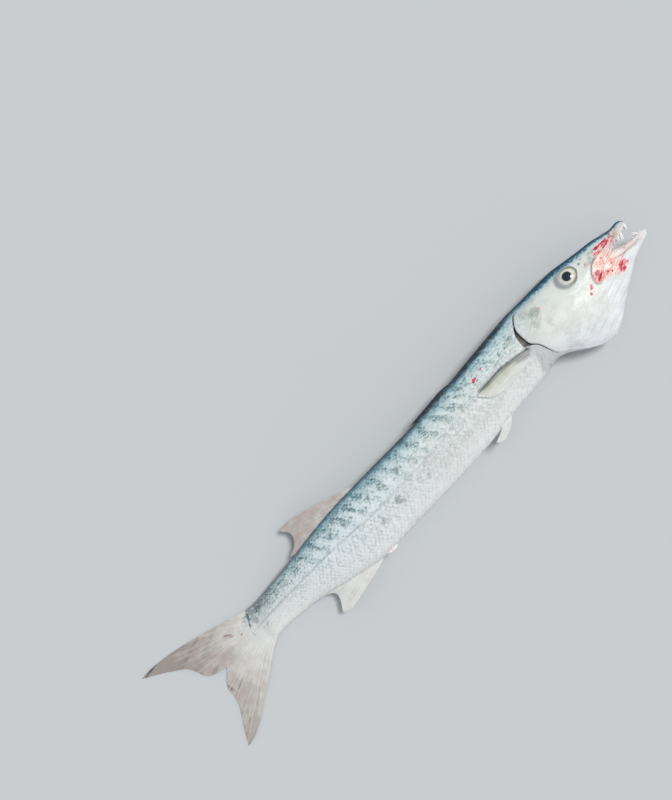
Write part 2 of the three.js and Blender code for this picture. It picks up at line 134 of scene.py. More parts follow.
# Half widths of the body, then of each jaw ahead of the gape's end
FLESH_WIDTHS = [
    (-336, 0.4), (-328, 1.5), (-317, 3), (-304, 4.6), (-290, 8.5), (-266, 13.5), (-233, 19.5),
    (-182, 27), (-131, 32.5), (-80, 36.8), (-20, 39), (60, 39.5), (130, 38.5), (190, 36.5), (240, 34.5),
    (262, 35), (290, 35.8), (325, 33), (359, 28), (385, 23.5), (408, 19)]
upper_half_width = profile(FLESH_WIDTHS + [(428, 14.5), (446, 11), (458, 8.2), (466, 4.5)])
lower_half_width = profile(FLESH_WIDTHS + [
    (428, 15.5), (450, 12.8), (466, 9.6), (474, 6.4), (478.5, 2.5)])

# How square the section is above and below its widest point: 2 is an ellipse
upper_squareness = profile([(-304, 2), (200, 2.1), (280, 2.3), (359, 3), (400, 2.7), (466, 2.3)])
lower_squareness = profile([
    (-304, 2), (240, 2), (300, 1.9), (347, 1.7), (390, 1.9), (440, 2.4), (478, 2.4)])

# Height of the fish's middle plane: the tail sinks until its stem and fin lie down as well
middle_height = profile([
    (-336, 3.7), (-320, 4.4), (-304, 5.2), (-290, 8.2), (-266, 13), (-233, 18.7), (-182, 25.8),
    (-131, 31.2), (-80, 35.1), (-20, 36.8), (60, 37), (150, 36.5), (262, 35.2), (478, 35)])
tail_height = profile([(-492, 1.1), (-440, 1.3), (-385, 2), (-345, 3.3), (-315, 4.7), (-304, 5.2)])

# Mouth
upper_rim = profile([
    (379, 9), (404, 20), (422, 26), (430, 30.5), (439, 33), (449, 35), (458, 38), (466, 41)])
lower_rim = profile([
    (379, 9), (404, 20), (422, 26), (434, 22), (444, 19), (455, 17), (470, 16.5), (478.5, 14.5)])
split_line = profile([
    (-336, 16), (-304, 17), (-150, 12), (0, 9), (120, 13), (240, 20), (280, 20), (320, 14), (350, 9.5),
    (379, 9)])
mouth_roof = profile([
    (336, 6), (345, 12), (362, 15), (382, 20), (404, 29), (422, 36), (438, 40), (450, 41.5),
    (460, 42.5), (466, 43)])
mouth_floor = profile([
    (336, 4), (345, -1), (362, -3), (382, 2), (404, 9), (422, 13), (438, 12), (450, 11.5), (460, 11.5),
    (470, 12.5), (478.5, 14)])
mouth_half = profile([(336, 2), (345, 8), (362, 12), (372, 13.5), (377, 18), (379, 23)])

# Lines and outlines in side view
LATERAL_LINE = [
    (-316, 18.5), (-260, 17.7), (-193, 17), (-127, 14.3), (-83, 11), (-43, 8.7), (40, 9), (73, 9.5),
    (107, 14), (150, 19.5), (200, 28), (235, 38), (262, 48)]
MAXILLA = [
    (459, 41), (442.5, 46), (430, 41), (413, 36.5), (400, 35), (387, 27.5), (378.7, 15), (379, 8.5),
    (386, 8), (398, 14), (411, 22), (424, 29), (440, 34.2), (455, 38)]
LOWER_LIP = [
    (384, 10), (404, 18), (422, 25), (434, 21), (444, 18), (455, 16), (473, 15), (472, 10.5),
    (455, 9.5), (443, 11), (431, 13), (420, 15), (405, 9)]
PREOPERCLE = [(301, 60), (294, 45), (292, 25), (299, 4), (316, -12), (345, -22)]
SUBORBITAL = [(336, 34), (346, 27), (362, 25), (380, 30), (398, 40), (412, 45)]
OPERCLE_RIBS = [[(292, 44), (280, 50), (268, 55)], [(292, 40), (278, 41), (262, 42)],
                [(292, 36), (278, 31), (262, 30)], [(293, 31), (280, 20), (264, 17)]]
SNOUT_SEAM = [(446, 48.5), (440.5, 47.8), (437.9, 42.5), (441, 38)]

# The gill slit, by the angle round the body: where the cover's edge is, how wide the slit gapes ahead of
# the body, how far it is a real fold, and how far forward the cover takes to lie level again
cover_edge = profile([
    (-90, 335), (-80, 315), (-70, 292), (-61.6, 277.3), (-37.6, 270.6), (-17.2, 265.9), (-2.3, 258.3),
    (7.7, 257.5), (18, 257.4), (25.3, 258.1), (32.2, 260.2), (38.4, 263.2), (44.8, 266.8), (52, 270),
    (60, 272), (90, 272)])
slit_gape = profile([
    (-90, 0.3), (-75, 1), (-61, 1.4), (-37, 1.5), (-18, 1.9), (-9, 3.2), (-4, 8), (1, 10.4), (9, 9.2),
    (20, 7), (27, 4.8), (34, 3.4), (42, 3), (47, 2.6), (51, 1.4), (54, 0)])
slit_fold = profile([(-90, 0.5), (-80, 1), (-40, 1), (47, 1), (50.5, 0.8), (53, 0), (90, 0)])
cover_reach = profile([(-90, 13), (-70, 20), (-50, 32), (90, 32)])
# The fold itself: columns of forward distance from the edge in shares of the gape, then in millimetres, and
# of height over the skin
FOLD = [
    (-1, -6, 0), (-1, -2, 0), (-1, -0.3, -0.1), (-0.9, 0, -0.6), (-0.55, 0, -1.7), (-0.2, 0, -3),
    (0, 1.5, -4.4), (0, 4, -5.4), (0, 6.4, -5.4), (0, 7, -4.3), (0, 5, -3), (0, 2, -2.4),
    (0, 0.4, -2.2), (0, -0.4, -1.6), (0, -0.6, -0.8), (0, -0.3, 0.1), (0, 0.5, 0.7), (0, 2, 0.95),
    (0, 6, 0.9), (0, 12, 0.6), (0, 20, 0.25), (0, 32, 0)]
FOLD_SLIT = range(3, 15)  # those of its columns that lie inside the slit


def smooth(low, high, value):
    """0 at low and beyond, 1 at high and beyond, and an S-shaped cubic between them."""
    t = np.clip((value - low) / (high - low), 0, 1)
    return t * t * (3 - 2 * t)


def through_points(points, t):
    """The Catmull-Rom curve through the points at t from 0 to 1, even in the number of the point."""
    p = np.array(points, float)
    last = len(p) - 1
    place_on = np.asarray(t, float) * last
    i = np.clip(np.floor(place_on).astype(int), 0, last - 1)
    w = (place_on - i)[..., None]
    a, b, c, d = p[np.maximum(i - 1, 0)], p[i], p[i + 1], p[np.minimum(i + 2, last)]
    u, v = (c - a) / 2, (d - b) / 2
    return (2 * b - 2 * c + u + v) * w**3 + (3 * c - 3 * b - 2 * u - v) * w**2 + u * w + b


def line_distance(points, x, y, count=40):
    """Distance in side view from (x, y) to the smooth line through the points."""
    line = through_points(points, np.linspace(0, 1, count))
    a, along = line[:-1], np.diff(line, axis=0)
    p = np.stack([x, y], -1)[..., None, :] - a
    t = np.clip((p * along).sum(-1) / (along**2).sum(-1), 0, 1)
    return np.sqrt(((p - t[..., None] * along) ** 2).sum(-1)).min(-1)


def outline_depth(points, x, y, count=60):
    """Distance in side view from (x, y) to a closed smooth outline, negative outside it.

    A point is inside where a ray from it along +X crosses the outline an odd number of times.
    """
    line = through_points([*points, points[0]], np.linspace(0, 1, count))
    (ax, ay), (bx, by) = line[:-1].T, line[1:].T
    x, y = x[..., None], y[..., None]
    rise = np.where(by == ay, 1, by - ay)
    crossed = ((ay > y) != (by > y)) & (x < ax + (bx - ax) * (y - ay) / rise)
    side = np.where(crossed.sum(-1) % 2 == 1, 1, -1)
    return side * line_distance([*points, points[0]], x[..., 0], y[..., 0], count)


def blots(x, y, entries):
    """The strongest at (x, y) of some soft spots, each [x, y, half length, half height, turn, strength]."""
    found = np.zeros(np.shape(x))
    for cx, cy, long, short, turn, strength in entries:
        c, s = np.cos(np.radians(turn)), np.sin(np.radians(turn))
        reach = (((x - cx) * c + (y - cy) * s) / long) ** 2 + (((y - cy) * c - (x - cx) * s) / short) ** 2
        found = np.maximum(found, strength * np.clip(1.3 - reach, 0, 1))
    return found


def half_section(x, above):
    """Height of the section's widest point, and its half depth, half width and squareness.

    They are those of the half above the widest point where above is true, and else of the half below.
    """
    widest = widest_line(x)
    depth = np.where(above, back_line(x) - widest, widest - belly_line(x))
    width = np.where(above, upper_half_width(x), lower_half_width(x))
    return widest, depth, width, np.where(above, upper_squareness(x), lower_squareness(x))


def section_point(x, turn):
    """The skin at a station x and a turn round the body: 0 is the upper flank and a quarter turn the back.

    The section is a superellipse in two halves, above and below its widest point. Its lower flank is
    pressed flat on the floor.
    """
    s, c = np.sin(turn), np.cos(turn)
    widest, depth, width, n = half_section(x, s >= 0)
    reach = (np.abs(s) ** n + np.abs(c) ** n) ** (-1 / n)
    z = middle_height(x) + width * c * reach
    pressed = (z + REST + np.sqrt((z - REST) ** 2 + 0.5)) / 2
    return np.stack(np.broadcast_arrays(x, widest + depth * s * reach, pressed), -1)


def section_normal(x, turn):
    """The unit vector that points out of the skin, from steps along the body and round it."""
    along = section_point(x + 0.4, turn) - section_point(x - 0.4, turn)
    across = section_point(x, turn + 0.006) - section_point(x, turn - 0.006)
    out = np.cross(along, across)
    return out / np.maximum(np.linalg.norm(out, axis=-1, keepdims=True), 1e-9)


def flank_shares(x, y):
    """Whether a place in side view is above the widest point, its share of the half depth from there, and
    the share of the half width that the superellipse has at it.
    """
    above = y >= widest_line(x)
    widest, depth, _, n = half_section(x, above)
    part = np.clip(np.abs(y - widest) / depth, 0, 0.999)
    return above, part, (1 - part**n) ** (1 / n)


def turn_at(x, y):
    """The turn on the upper flank at which the skin has this height in side view."""
    above, part, reach = flank_shares(x, y)
    return np.where(above, 1, -1) * np.arctan2(part, reach)


def flank_height(x, y, side=1):
    """Height of the skin at a place in side view, on the upper flank or, with side -1, on the lower."""
    above, _, reach = flank_shares(x, y)
    return middle_height(x) + side * np.where(above, upper_half_width(x), lower_half_width(x)) * reach


def place(points):
    """Millimetres in the fish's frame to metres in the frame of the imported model."""
    return (np.asarray(points, float) + (FORWARD, 0, 0)) * MM


def grid_faces(columns, rows, first=0, turned=False):
    """Quads over points numbered row by row within each column. They face along column step x row step."""
    a = (np.arange(columns - 1)[:, None] * rows + np.arange(rows - 1)).reshape(-1) + first
    quads = np.stack([a, a + rows, a + rows + 1, a + 1], -1)
    return quads[:, ::-1] if turned else quads


def make_piece(name, points, faces, material, values=None, uv=None, weld=0.0):
    """A mesh object at the origin from points in millimetres, with a float attribute for each value."""
    mesh = bpy.data.meshes.new(name)
    points = place(points).reshape(-1, 3)
    mesh.vertices.add(len(points))
    mesh.vertices.foreach_set("co", points.astype(np.float32).ravel())
    mesh.loops.add(faces.size)
    mesh.loops.foreach_set("vertex_index", faces.astype(np.int32).ravel())
    mesh.polygons.add(len(faces))
    mesh.polygons.foreach_set("loop_start", np.arange(0, faces.size, faces.shape[1], dtype=np.int32))
    mesh.update(calc_edges=True)
    for key, value in (values or {}).items():
        attribute = mesh.attributes.new(key, "FLOAT", "POINT")
        attribute.data.foreach_set("value", np.asarray(value, np.float32).ravel())
    if uv is not None:
        layer = mesh.uv_layers.new(name="OFBake")
        layer.data.foreach_set("uv", np.asarray(uv, np.float32).reshape(-1, 2)[faces.ravel()].ravel())
    if weld:
        work = bmesh.new()
        work.from_mesh(mesh)
        bmesh.ops.remove_doubles(work, verts=work.verts, dist=weld * MM)
        bmesh.ops.recalc_face_normals(work, faces=work.faces)
        work.to_mesh(mesh)
        work.free()
    mesh.polygons.foreach_set("use_smooth", np.full(len(mesh.polygons), True))
    mesh.update()
    piece = bpy.data.objects.new(name, mesh)
    bpy.context.scene.collection.objects.link(piece)
    mesh.materials.append(material)
    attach(piece, "root")
    return piece


def down_share(points):
    """0 on the line of the back and 1 on the line of the belly, in side view."""
    x, y = points[..., 0], points[..., 1]
    return np.clip((back_line(x) - y) / (back_line(x) - belly_line(x)), 0, 1)


# Fins: each a sheet between four smooth edges in side view. The front and the rear edge run from the ends
# of the base to those of the margin, and the table holds their points between. Thickness goes from root to
# edge
TAIL_MEETS = TAIL_ROOT + 6
SPLIT = 0.02
FINS = {
    "tail_fin_upper_lobe": {
        "base": [(TAIL_MEETS, 46), (TAIL_MEETS - 2, 32), (TAIL_MEETS - 2, 18 + SPLIT)],
        "front": [(-313, 51.5), (-347, 62), (-382, 72.3), (-425, 83.5), (-459, 89), (-475, 90.3)],
        "margin": [
            (-492, 89.7), (-473, 79), (-452, 66), (-431, 51.5), (-424, 39), (-418, 24), (-405, 16.5),
            (-384, 11.5 + SPLIT)],
        "rear": [(-340, 15 + SPLIT)],
        "rays": 9, "root": 5.4, "edge": 1.1, "ragged": 0.02, "wave": 1.6,
    },
    "tail_fin_lower_lobe": {
        "base": [(TAIL_MEETS - 2, 18 - SPLIT), (TAIL_MEETS - 2, 2), (TAIL_MEETS, -11.5)],
        "front": [(-340, 15 - SPLIT)],
        "margin": [
            (-384, 11.5 - SPLIT), (-395, 1), (-403.5, -7), (-407.5, -17), (-408, -27), (-412, -43),
            (-431, -70), (-444, -92)],
        "rear": [(-315, -20.5), (-338, -36), (-359, -49.5), (-380, -62), (-402, -76.5), (-425, -87.5)],
        "rays": 9, "root": 5.4, "edge": 1.1, "ragged": 0.02, "wave": 1.6,
    },
    "dorsal_fin_first": {
        "base": [(148, 58), (115, 56.5), (80, 54)],
        "front": [(138, 62.3)],
        "margin": [(122, 64), (94, 62), (60, 60)],
        "rear": [(70, 58)],
        "rays": 5, "root": 4.4, "edge": 2, "ragged": 0.06, "wave": 0,
    },
    "dorsal_fin_second": {
        "base": [(-50, 54), (-106, 52), (-168, 48)],
        "front": [(-62, 61.5), (-77, 67), (-107, 77.5), (-140, 87.8)],
        "margin": [(-159, 91.8), (-180, 92.3), (-173, 82), (-172, 73), (-180, 62), (-198, 55)],
        "rear": [(-182, 51.5)],
        "rays": 10, "root": 3.4, "edge": 0.8, "ragged": 0.03, "wave": 1.8,
    },
    "anal_fin": {
        "base": [(-90, -34), (-128, -30), (-173, -18)],
        "front": [(-102, -43.5), (-135, -51), (-166, -57)],
        "margin": [(-185, -59.5), (-198, -55), (-189, -41), (-186, -30), (-194, -22), (-210, -18)],
        "rear": [(-190, -19)],
        "rays": 9, "root": 3.2, "edge": 0.8, "ragged": 0.03, "wave": 1.8,
    },
    "pelvic_fin_right": {
        "base": [(176, -25), (165, -26), (156, -29)],
        "front": [(166, -36), (156, -43)],
        "margin": [(141, -48.5), (132, -47), (127.5, -43)],
        "rear": [(146, -36)],
        "rays": 6, "root": 2.4, "edge": 0.7, "ragged": 0.1, "wave": 0.8,
    },
    "pelvic_fin_left": {
        "base": [(176, -25), (165, -26), (156, -29)],
        "front": [(166, -35), (156, -42)],
        "margin": [(143, -47), (134, -47), (129, -43)],
        "rear": [(146, -36)],
        "rays": 6, "root": 2.4, "edge": 0.7, "ragged": 0.1, "wave": 0.4,
    },
    "pectoral_fin_right": {
        "base": [(249, 13.5), (248, 8), (242.5, 2)],
        "front": [(230, 18), (204, 21.8), (184, 21.2)],
        "margin": [(164, 20.6), (157, 17.9), (167, 5.2)],
        "rear": [(220, -0.5), (189, -1.8)],
        "rays": 12, "root": 3, "edge": 0.8, "ragged": 0.05, "wave": 0.5,
    },
    "pectoral_fin_left": {
        "base": [(249, 10), (246, 4), (240, -1)],
        "front": [(226, 4), (200, -4)],
        "margin": [(176, -12), (169, -19), (176, -24)],
        "rear": [(226, -14), (204, -22)],
        "rays": 12, "root": 1.6, "edge": 0.7, "ragged": 0.03, "wave": 0,
    },
}


def fin_edges(name):
    """The base, the margin, the front and the rear edge of a fin, each as a full list of points."""
    fin = FINS[name]
    base, margin = fin["base"], fin["margin"]
    return base, margin, [base[0], *fin["front"], margin[0]], [base[-1], *fin["rear"], margin[-1]]


# How grey each fin but the tail is at its root, how much greyer at its margin, and how pink
FIN_TINTS = {
    "dorsal_fin_first": (0.9, 0, 0), "dorsal_fin_second": (0.32, 0.25, 1.0), "anal_fin": (0, 0.12, 0.15),
    "pelvic_fin_right": (0, 0.1, 0), "pelvic_fin_left": (0, 0.1, 0), "pectoral_fin_right": (0.05, 0.05, 0),
    "pectoral_fin_left": (0.05, 0.05, 0)}
# Clouds of colour on the tail fin, each [x, y, half length, half height, turn, strength]
TAIL_PINK = [
    (-400, 60, 60, 16, 20, 0.6), (-455, 80, 40, 8, 20, 0.5), (-390, 26, 24, 16, 0, 0.75),
    (-397, -30, 16, 36, 0, 0.6), (-420, -72, 26, 14, 60, 0.45), (-351, 42, 9, 4, -30, 1.3)]
TAIL_DUSK = [
    (-372, 58, 44, 5, 20, 0.62), (-395, 70, 66, 4, 17, 0.66), (-470, 89, 26, 2.4, 8, 1.1),
    (-351, 43, 9, 1.8, -32, 1), (-347, 37, 6, 1.4, -26, 0.9), (-333, 29, 3, 1.8, 40, 1.2),
    (-400, 20, 14, 3, 5, 0.8), (-420, 30, 3, 12, 0, 0.7), (-403, -14, 4, 16, 8, 0.8),
    (-390, -20, 16, 6, 0, 0.6), (-412, -60, 24, 4, 60, 0.62)]
TAIL_GREY = [(-394, -14, 18, 40, 20, 0.16), (-375, 20, 24, 14, 0, 0.14)]
# Where the rays of both tail lobes fan out from, and their length
TAIL_FAN = (-285, 17)
TAIL_REACH = 200
# Clouds of the pectoral fins, as shares out along the rays and across the fan
PECTORAL_GREEN = [(0.6, 0.3, 0.45, 0.45, 0, 0.95)]
PECTORAL_DUSK = [(0.06, 0.3, 0.34, 0.5, 0, 0.95)]

# Marks of the upper flank, FAR_SPOTS of the lower: (x, y, half length, half height, turn, strength)
SPOTS = [
    (-19, -2, 9, 9, 25, 0.97), (-14, -9, 5, 5, 0, 0.9), (-54, -7.5, 7, 8, 40, 0.88),
    (-62, -8, 4, 4, 0, 0.85), (33, -8.5, 6, 8, -50, 0.86), (40, -2, 4, 4, 0, 0.8),
    (-38, -19, 6, 5, 0, 0.8), (8, -14, 3, 2, 0, 0.9), (-48, 31, 3, 3, 0, 1.5), (108, 31, 7, 4, 0, 0.9),
    (-308, 39, 2, 8.5, -24, 1.7), (-314, 30, 1.7, 8, -30, 1.5), (-283, 40, 20, 8, 6, 0.95),
    (-258, 43, 20, 7, 6, 0.88), (-302, 28, 8, 9, 0, 0.88), (-290, 12, 6, 8, 0, 0.82),
    (-318, 16, 5, 6, 0, 0.9), (-122, -22, 3, 2, 0, 1), (249.5, 15.5, 5, 3.6, -20, 1.1)]
FAR_SPOTS = [
    (-80, -6, 6, 8, 10, 1), (10, -12, 5, 7, -20, 0.9), (70, -3, 4, 6, 30, 0.8), (-150, 2, 5, 5, 0, 0.8),
    (-305, 33, 3, 11, -30, 1)]
STAINS = [
    (417, 41.2, 17, 6, 3, 1.4), (424, 39.5, 9, 3, 0, 1.7), (411, 43, 8, 3.5, -8, 1.5),
    (433, 44, 6, 3, -30, 1.1), (388, 14.4, 9, 8, 25, 1.6), (380, 17, 5, 5, 0, 1.1),
    (398.6, 10.1, 7, 3, 10, 1.0), (404, 24, 4, 3, 40, 1.0), (398, 28, 3, 4, 0, 0.8),
    (407, 30, 3, 2.5, 0, 0.9), (413.8, 16.3, 5.5, 2.4, 40, 1.8), (418.8, 1.8, 10, 6.5, 30, 1.3),
    (427.5, 2.5, 6, 5, 20, 0.95), (404.3, 6.9, 2.4, 2, 0, 1.8), (368.6, 9.3, 6, 3.6, 60, 1.4),
    (362.4, 4.9, 3, 2, 60, 1.8), (385.4, 37.3, 5, 2, 30, 0.85), (299.8, 43.2, 3, 1.8, -40, 1.0),
    (168.6, 37, 5, 2, 20, 2.2), (176, 39.3, 4, 1.4, 20, 1.0), (185.5, 41.6, 3.4, 1.4, 20, 1.9),
    (445, 20, 15, 3, 0, 0.6), (436, 36, 7, 3, 20, 0.85), (448, 39, 6, 2, 20, 0.45),
    (361, -27.8, 3, 1.5, 20, 0.9)]
SMUDGES = [
    (291, 42, 10, 9, 0, 0.95), (286, 30, 10, 8, 0, 0.8), (294, 20, 9, 8, 0, 0.4),
    (295, 57, 13, 5, 0, 0.5), (280, 52, 8, 7, 0, 0.55), (406, 45, 10, 3, -10, 0.7),
    (394, 36, 4, 9, -35, 0.8), (384, 22, 3, 8, -20, 0.7)]
# Painted shade about the lower end of the gill slit and at the pectoral fin's root
SHADES = [(250, 14, 6, 5, 0, 1.0), (266, 3, 3, 12, 22, 0.5), (245, 8, 4, 5, 0, 0.6)]
# Painted shadow of the gill cover on the breast below it
BREAST_SHADOW = [
    (248.5, 11), (249.4, -2.6), (243.5, -21), (250, -25), (268, -24.5), (278, -19.8), (272.6, -9.2),
    (265.9, 5), (259.3, 15.1)]
VENT = [(-84, -41, 9, 6, 0, 0.9)]
# Bare pale skin at the tail's root
PALE_ROOT = [(-326, 12, 24, 30, 0, 0.85), (-312, 0, 24, 18, 0, 0.6)]
# Raw places of the lower jaw's side, and painted shade in a curved band round the rear of the eye
RAW = [
    (402, 12, 20, 9, 15, 0.85), (418, 6, 18, 9, 25, 0.8), (440, 14, 22, 6, 0, 0.6),
    (387, 37, 8, 4, 30, 0.45)]
CRESCENT_SHADE = [(352.6, 44, 15.5, 13, -20, 1)]
# Swellings of the cheek and of the gill cover
CHEEK_SWELLS = [(322, 14, 34, 17, 8, 0.8), (280, 22, 16, 22, 0, 0.4)]
# Nostrils, each (x, y, radius), and the pore below them
NOSTRILS = [(380.6, 45.8, 2.2), (387, 48.8, 1.6)]
PORE = (386, 39)
VENT_RIM = {"middle": (-80, -41.2, 36.2), "long": 10.5, "deep": 5, "wide": 5.5, "flesh": 0.36, "points": 25}


def bars(x, y):
    """Bars on the upper flank, one in each BAR_SPACING, that lean back towards the fish's back.

    1 is the middle of a dark bar and -1 that of the bright wedge before it. They vary from one to the next.
    """
    phase = (x + BAR_LEAN * (y - 33) + 24) / BAR_SPACING
    bend = 0.12 * np.sin(1.7 * phase + 0.09 * y) + 0.08 * np.sin(0.31 * y + 2 * phase)
    wave = np.cos(2 * np.pi * (phase + bend))
    uneven = 0.8 + 0.3 * np.sin(2.3 * np.round(phase) + 0.8)
    dark_span = smooth(12, 24, y) * (1 - smooth(46, 56, y))
    bright_span = smooth(2, 20, y) * (1 - smooth(38, 50, y))
    ends = smooth(-250, -150, x) * (1 - smooth(120, 200, x))
    return np.where(wave > 0, wave * dark_span, wave * bright_span) * uneven * ends


def markings(points):
    """The markings at points of the skin, the same for skin and scales."""
    x, y = points[..., 0], points[..., 1]
    near = points[..., 2] > middle_height(x)
    # The dark of the back reaches a little further down on the nape
    down = down_share(points)
    nape = smooth(120, 175, x) * (1 - smooth(240, 268, x)) * (1 - smooth(0.06, 0.22, down))
    # The lateral line is a pale line with a darker one along its upper side, and fainter ahead
    faint = np.where(x < 262, 0.45 + 0.55 * smooth(20, -60, x), 0)
    darker = line_distance(LATERAL_LINE, x, y - 0.9, 60)
    pale_line = (0.5 - 0.5 * smooth(0.3, 1.4, line_distance(LATERAL_LINE, x, y, 60))) * faint
    breast = 0.3 * smooth(225, 250, x) * (1 - smooth(14, 30, y))
    # Painted shadow of the gill cover on the breast
    breast_shade = 0.42 * smooth(-1.5, 2, outline_depth(BREAST_SHADOW, x, y))
    # Painted shadow: a dark line on the flank along the pectoral fin's front edge, which stands a little
    # off it
    front_edge = fin_edges("pectoral_fin_right")[2]
    fin_edge_shadow = line_distance(front_edge, x, y - 1.2, 60)
    return {
        "down": np.maximum(down - 0.034 * nape, 0),
        "bars": bars(x, y),
        "spots": np.where(near, blots(x, y, SPOTS), blots(x, y, FAR_SPOTS)),
        "stain": np.where(near, blots(x, y, STAINS), 0),
        "shade": np.where(near, np.maximum(blots(x, y, SHADES), breast_shade), 0),
        "pit": (0.9 - 0.9 * smooth(0.4, 2.8, fin_edge_shadow)) * near,
        "flesh": blots(x, y, VENT) * 0.42,
        "lateral": (1 - smooth(0.4, 1.6, darker)) * faint,
        "pale": np.maximum.reduce([blots(x, y, PALE_ROOT), breast, pale_line]),
    }


def linear(colour):
    """An sRGB hex colour as linear red, green, blue and alpha."""
    v = np.array([int(colour[i:i + 2], 16) for i in (1, 3, 5)]) / 255
    v = np.where(v <= 0.04045, v / 12.92, ((v + 0.055) / 1.055) ** 2.4)
    return (*v.tolist(), 1.0)


def set_inputs(tree, made, inputs):
    """Links the inputs of a node that are given a socket, and sets the others."""
    for key, value in inputs.items():
        if isinstance(value, bpy.types.NodeSocket):
            tree.links.new(value, made.inputs[key])
        else:
            made.inputs[key].default_value = value


def node(tree, kind, inputs=None, stops=None, out=0, **settings):
    """Adds a node with its settings and links, and gives one of its outputs.

    Inputs whose names repeat go by number. A Mix has its factor at 0, colours at 6 and 7 and numbers at 2
    and 3. A Map Range turns the range from 1 to 2 into that from 3 to 4.
    """
    made = tree.nodes.new("ShaderNode" + kind)
    for name, value in settings.items():
        setattr(made, name, value)
    set_inputs(tree, made, inputs or {})
    if stops:
        ramp = made.color_ramp
        while len(ramp.elements) < len(stops):
            ramp.elements.new(1)
        for element, (position, colour) in zip(ramp.elements, stops):
            element.position = position
            element.color = linear(colour) if isinstance(colour, str) else (colour, colour, colour, 1)
    return made.outputs[out]


def new_material(name, *marks):
    """A material, its node tree, its Principled shader, Object coordinates and the named attributes."""
    material = bpy.data.materials.new(name)
    material.use_nodes = True
    tree = material.node_tree
    shader = tree.nodes["Principled BSDF"]
    spot = node(tree, "TexCoord", out="Object")
    value = {key: node(tree, "Attribute", out="Fac", attribute_name=key) for key in marks}
    return material, tree, shader, spot, value


SKIN_FINISH = "Wet silvery fish skin"

# Noise scales per metre: 1 over the real size of each pattern in metres
FLECK_SIZE = 1 / 0.0026
FLECK_SHAPE = (0.62, 1.0, 1.0)  # longer along the body
BLOTCH_SIZE = 1 / 0.02
PORE_SIZE = 1 / 0.0011
EDGE_SIZE = 1 / 0.0026
CLOT_SIZE = 1 / 0.0065
JAW_GRAIN = (1 / 0.013, 1.0, 1.0)
FIN_CLOUD_SIZE = 1 / 0.013
FIN_GRAIN_SIZE = 1 / 0.0022
FIN_STREAKS = (38.0, 2.2, 1.0)  # across the fan and out along it
IRIS_CLOUD_SIZE = 1 / 0.003
ENAMEL_GRAIN_SIZE = 1 / 0.001
FLOOR_MOTTLE_SIZE = 6.0

# Colour of the side from the back at 0 to the belly at 1. At the belly's end the trunk is nearly white: its
# own white, lifted by painted light where the underside turns from the lamp
TRUNK_SIDE = [
    (0.0, "#13303f"), (0.04, "#132a38"), (0.062, "#648b99"), (0.1, "#9cc2ca"), (0.2, "#c8dada"),
    (0.38, "#cdd7d4"), (0.58, "#c9cecb"), (0.8, "#dee1df"), (1.0, "#f4f5f3")]
REAR_SIDE = [
    (0.0, "#244d60"), (0.03, "#5b8a9a"), (0.08, "#94b6c0"), (0.14, "#b2c9cf"), (0.2, "#c0d4d9"),
    (0.4, "#dce9ef"), (0.6, "#dde5e7"), (1.0, "#eff1ef")]
STEM_SIDE = [
    (0.0, "#8e9795"), (0.1, "#9eaaa8"), (0.2, "#a0acaa"), (0.4, "#dae2df"), (0.6, "#e2e8e4"),
    (1.0, "#eff0ec")]
HEAD_SIDE = [
    (0.0, "#174a63"), (0.014, "#0c3852"), (0.034, "#10405a"), (0.054, "#3f7085"), (0.076, "#8bafba"),
    (0.1, "#c3d3d4"), (0.14, "#dce1db"), (0.5, "#e0e3dc"), (0.8, "#ecefef"), (1.0, "#f3f3f7")]
# Dark pigment and silver that break it up, the silver partly the skin's own and partly painted glints, and
# how strongly they do
PIGMENT = [
    (0.0, "#0a1826"), (0.06, "#1d4256"), (0.12, "#37616f"), (0.25, "#56757a"), (0.5, "#7f8d89"),
    (1.0, "#a5aaa5")]
SILVER_AND_GLINTS = [(0.0, "#6f97a8"), (0.08, "#d2e4e9"), (0.3, "#f1f6f6"), (1.0, "#f5f6f5")]
FLECK_STRENGTH = [
    (0.0, 0.2), (0.05, 0.5), (0.1, 0.85), (0.3, 0.75), (0.42, 0.5), (0.6, 0.45), (1.0, 0.28)]
# Raw flesh from red to white, and at the tips of the jaws from mauve to white
WARM_FLESH = [
    (0.37, "#d06a74"), (0.43, "#e8a095"), (0.49, "#f1c8b8"), (0.55, "#f6e0d1"), (0.61, "#faf2ea")]
COOL_FLESH = [
    (0.34, "#8f6a6e"), (0.42, "#b89c9a"), (0.5, "#d6c4be"), (0.58, "#dfd9d5"), (0.7, "#ebe9e7")]
BLOOD = [
    (0.0, "#f6cfcd"), (0.14, "#ee8d9a"), (0.34, "#dc2a4e"), (0.56, "#bc0a30"), (0.8, "#980426"),
    (1.0, "#70061c")]
# Colour of the lining from the lips or the edge of the gill slit inwards: its own grey-brown, then painted
# shade that darkens it nearly to black
LINING_AND_SHADE = [(0.0, "#c9c3bd"), (0.2, "#928b85"), (0.5, "#6a6662"), (0.7, "#454341"), (1.0, "#222422")]
CRYSTALS = [(0.0, 0.0), (0.3, 0.08), (0.6, 0.07), (0.9, 0.02)]


def skin_patterns(tree, spot, value):
    """Noise patterns of the skin, each at the real size of what it stands for."""
    longer = node(tree, "Mapping", {0: spot, 3: FLECK_SHAPE})
    # Long streaks along the jaws
    grain = node(tree, "CombineXYZ", {0: value["x"], 1: value["grain"]})
    grain = node(tree, "Mapping", {0: grain, 3: JAW_GRAIN})
    kinds = {"fleck": (longer, FLECK_SIZE, 3.0, 0.62), "blotch": (spot, BLOTCH_SIZE, 4.0, 0.5),
             "pores": (spot, PORE_SIZE, 2.0, 0.5), "ragged": (spot, EDGE_SIZE, 4.0, 0.65),
             "streak": (grain, 1.0, 4.0, 0.6), "clot": (spot, CLOT_SIZE, 5.0, 0.68)}
    patterns = {}
    for name, (vector, scale, detail, rough) in kinds.items():
        settings = {"Vector": vector, "Scale": scale, "Detail": detail, "Roughness": rough}
        patterns[name] = node(tree, "TexNoise", settings)
    return patterns


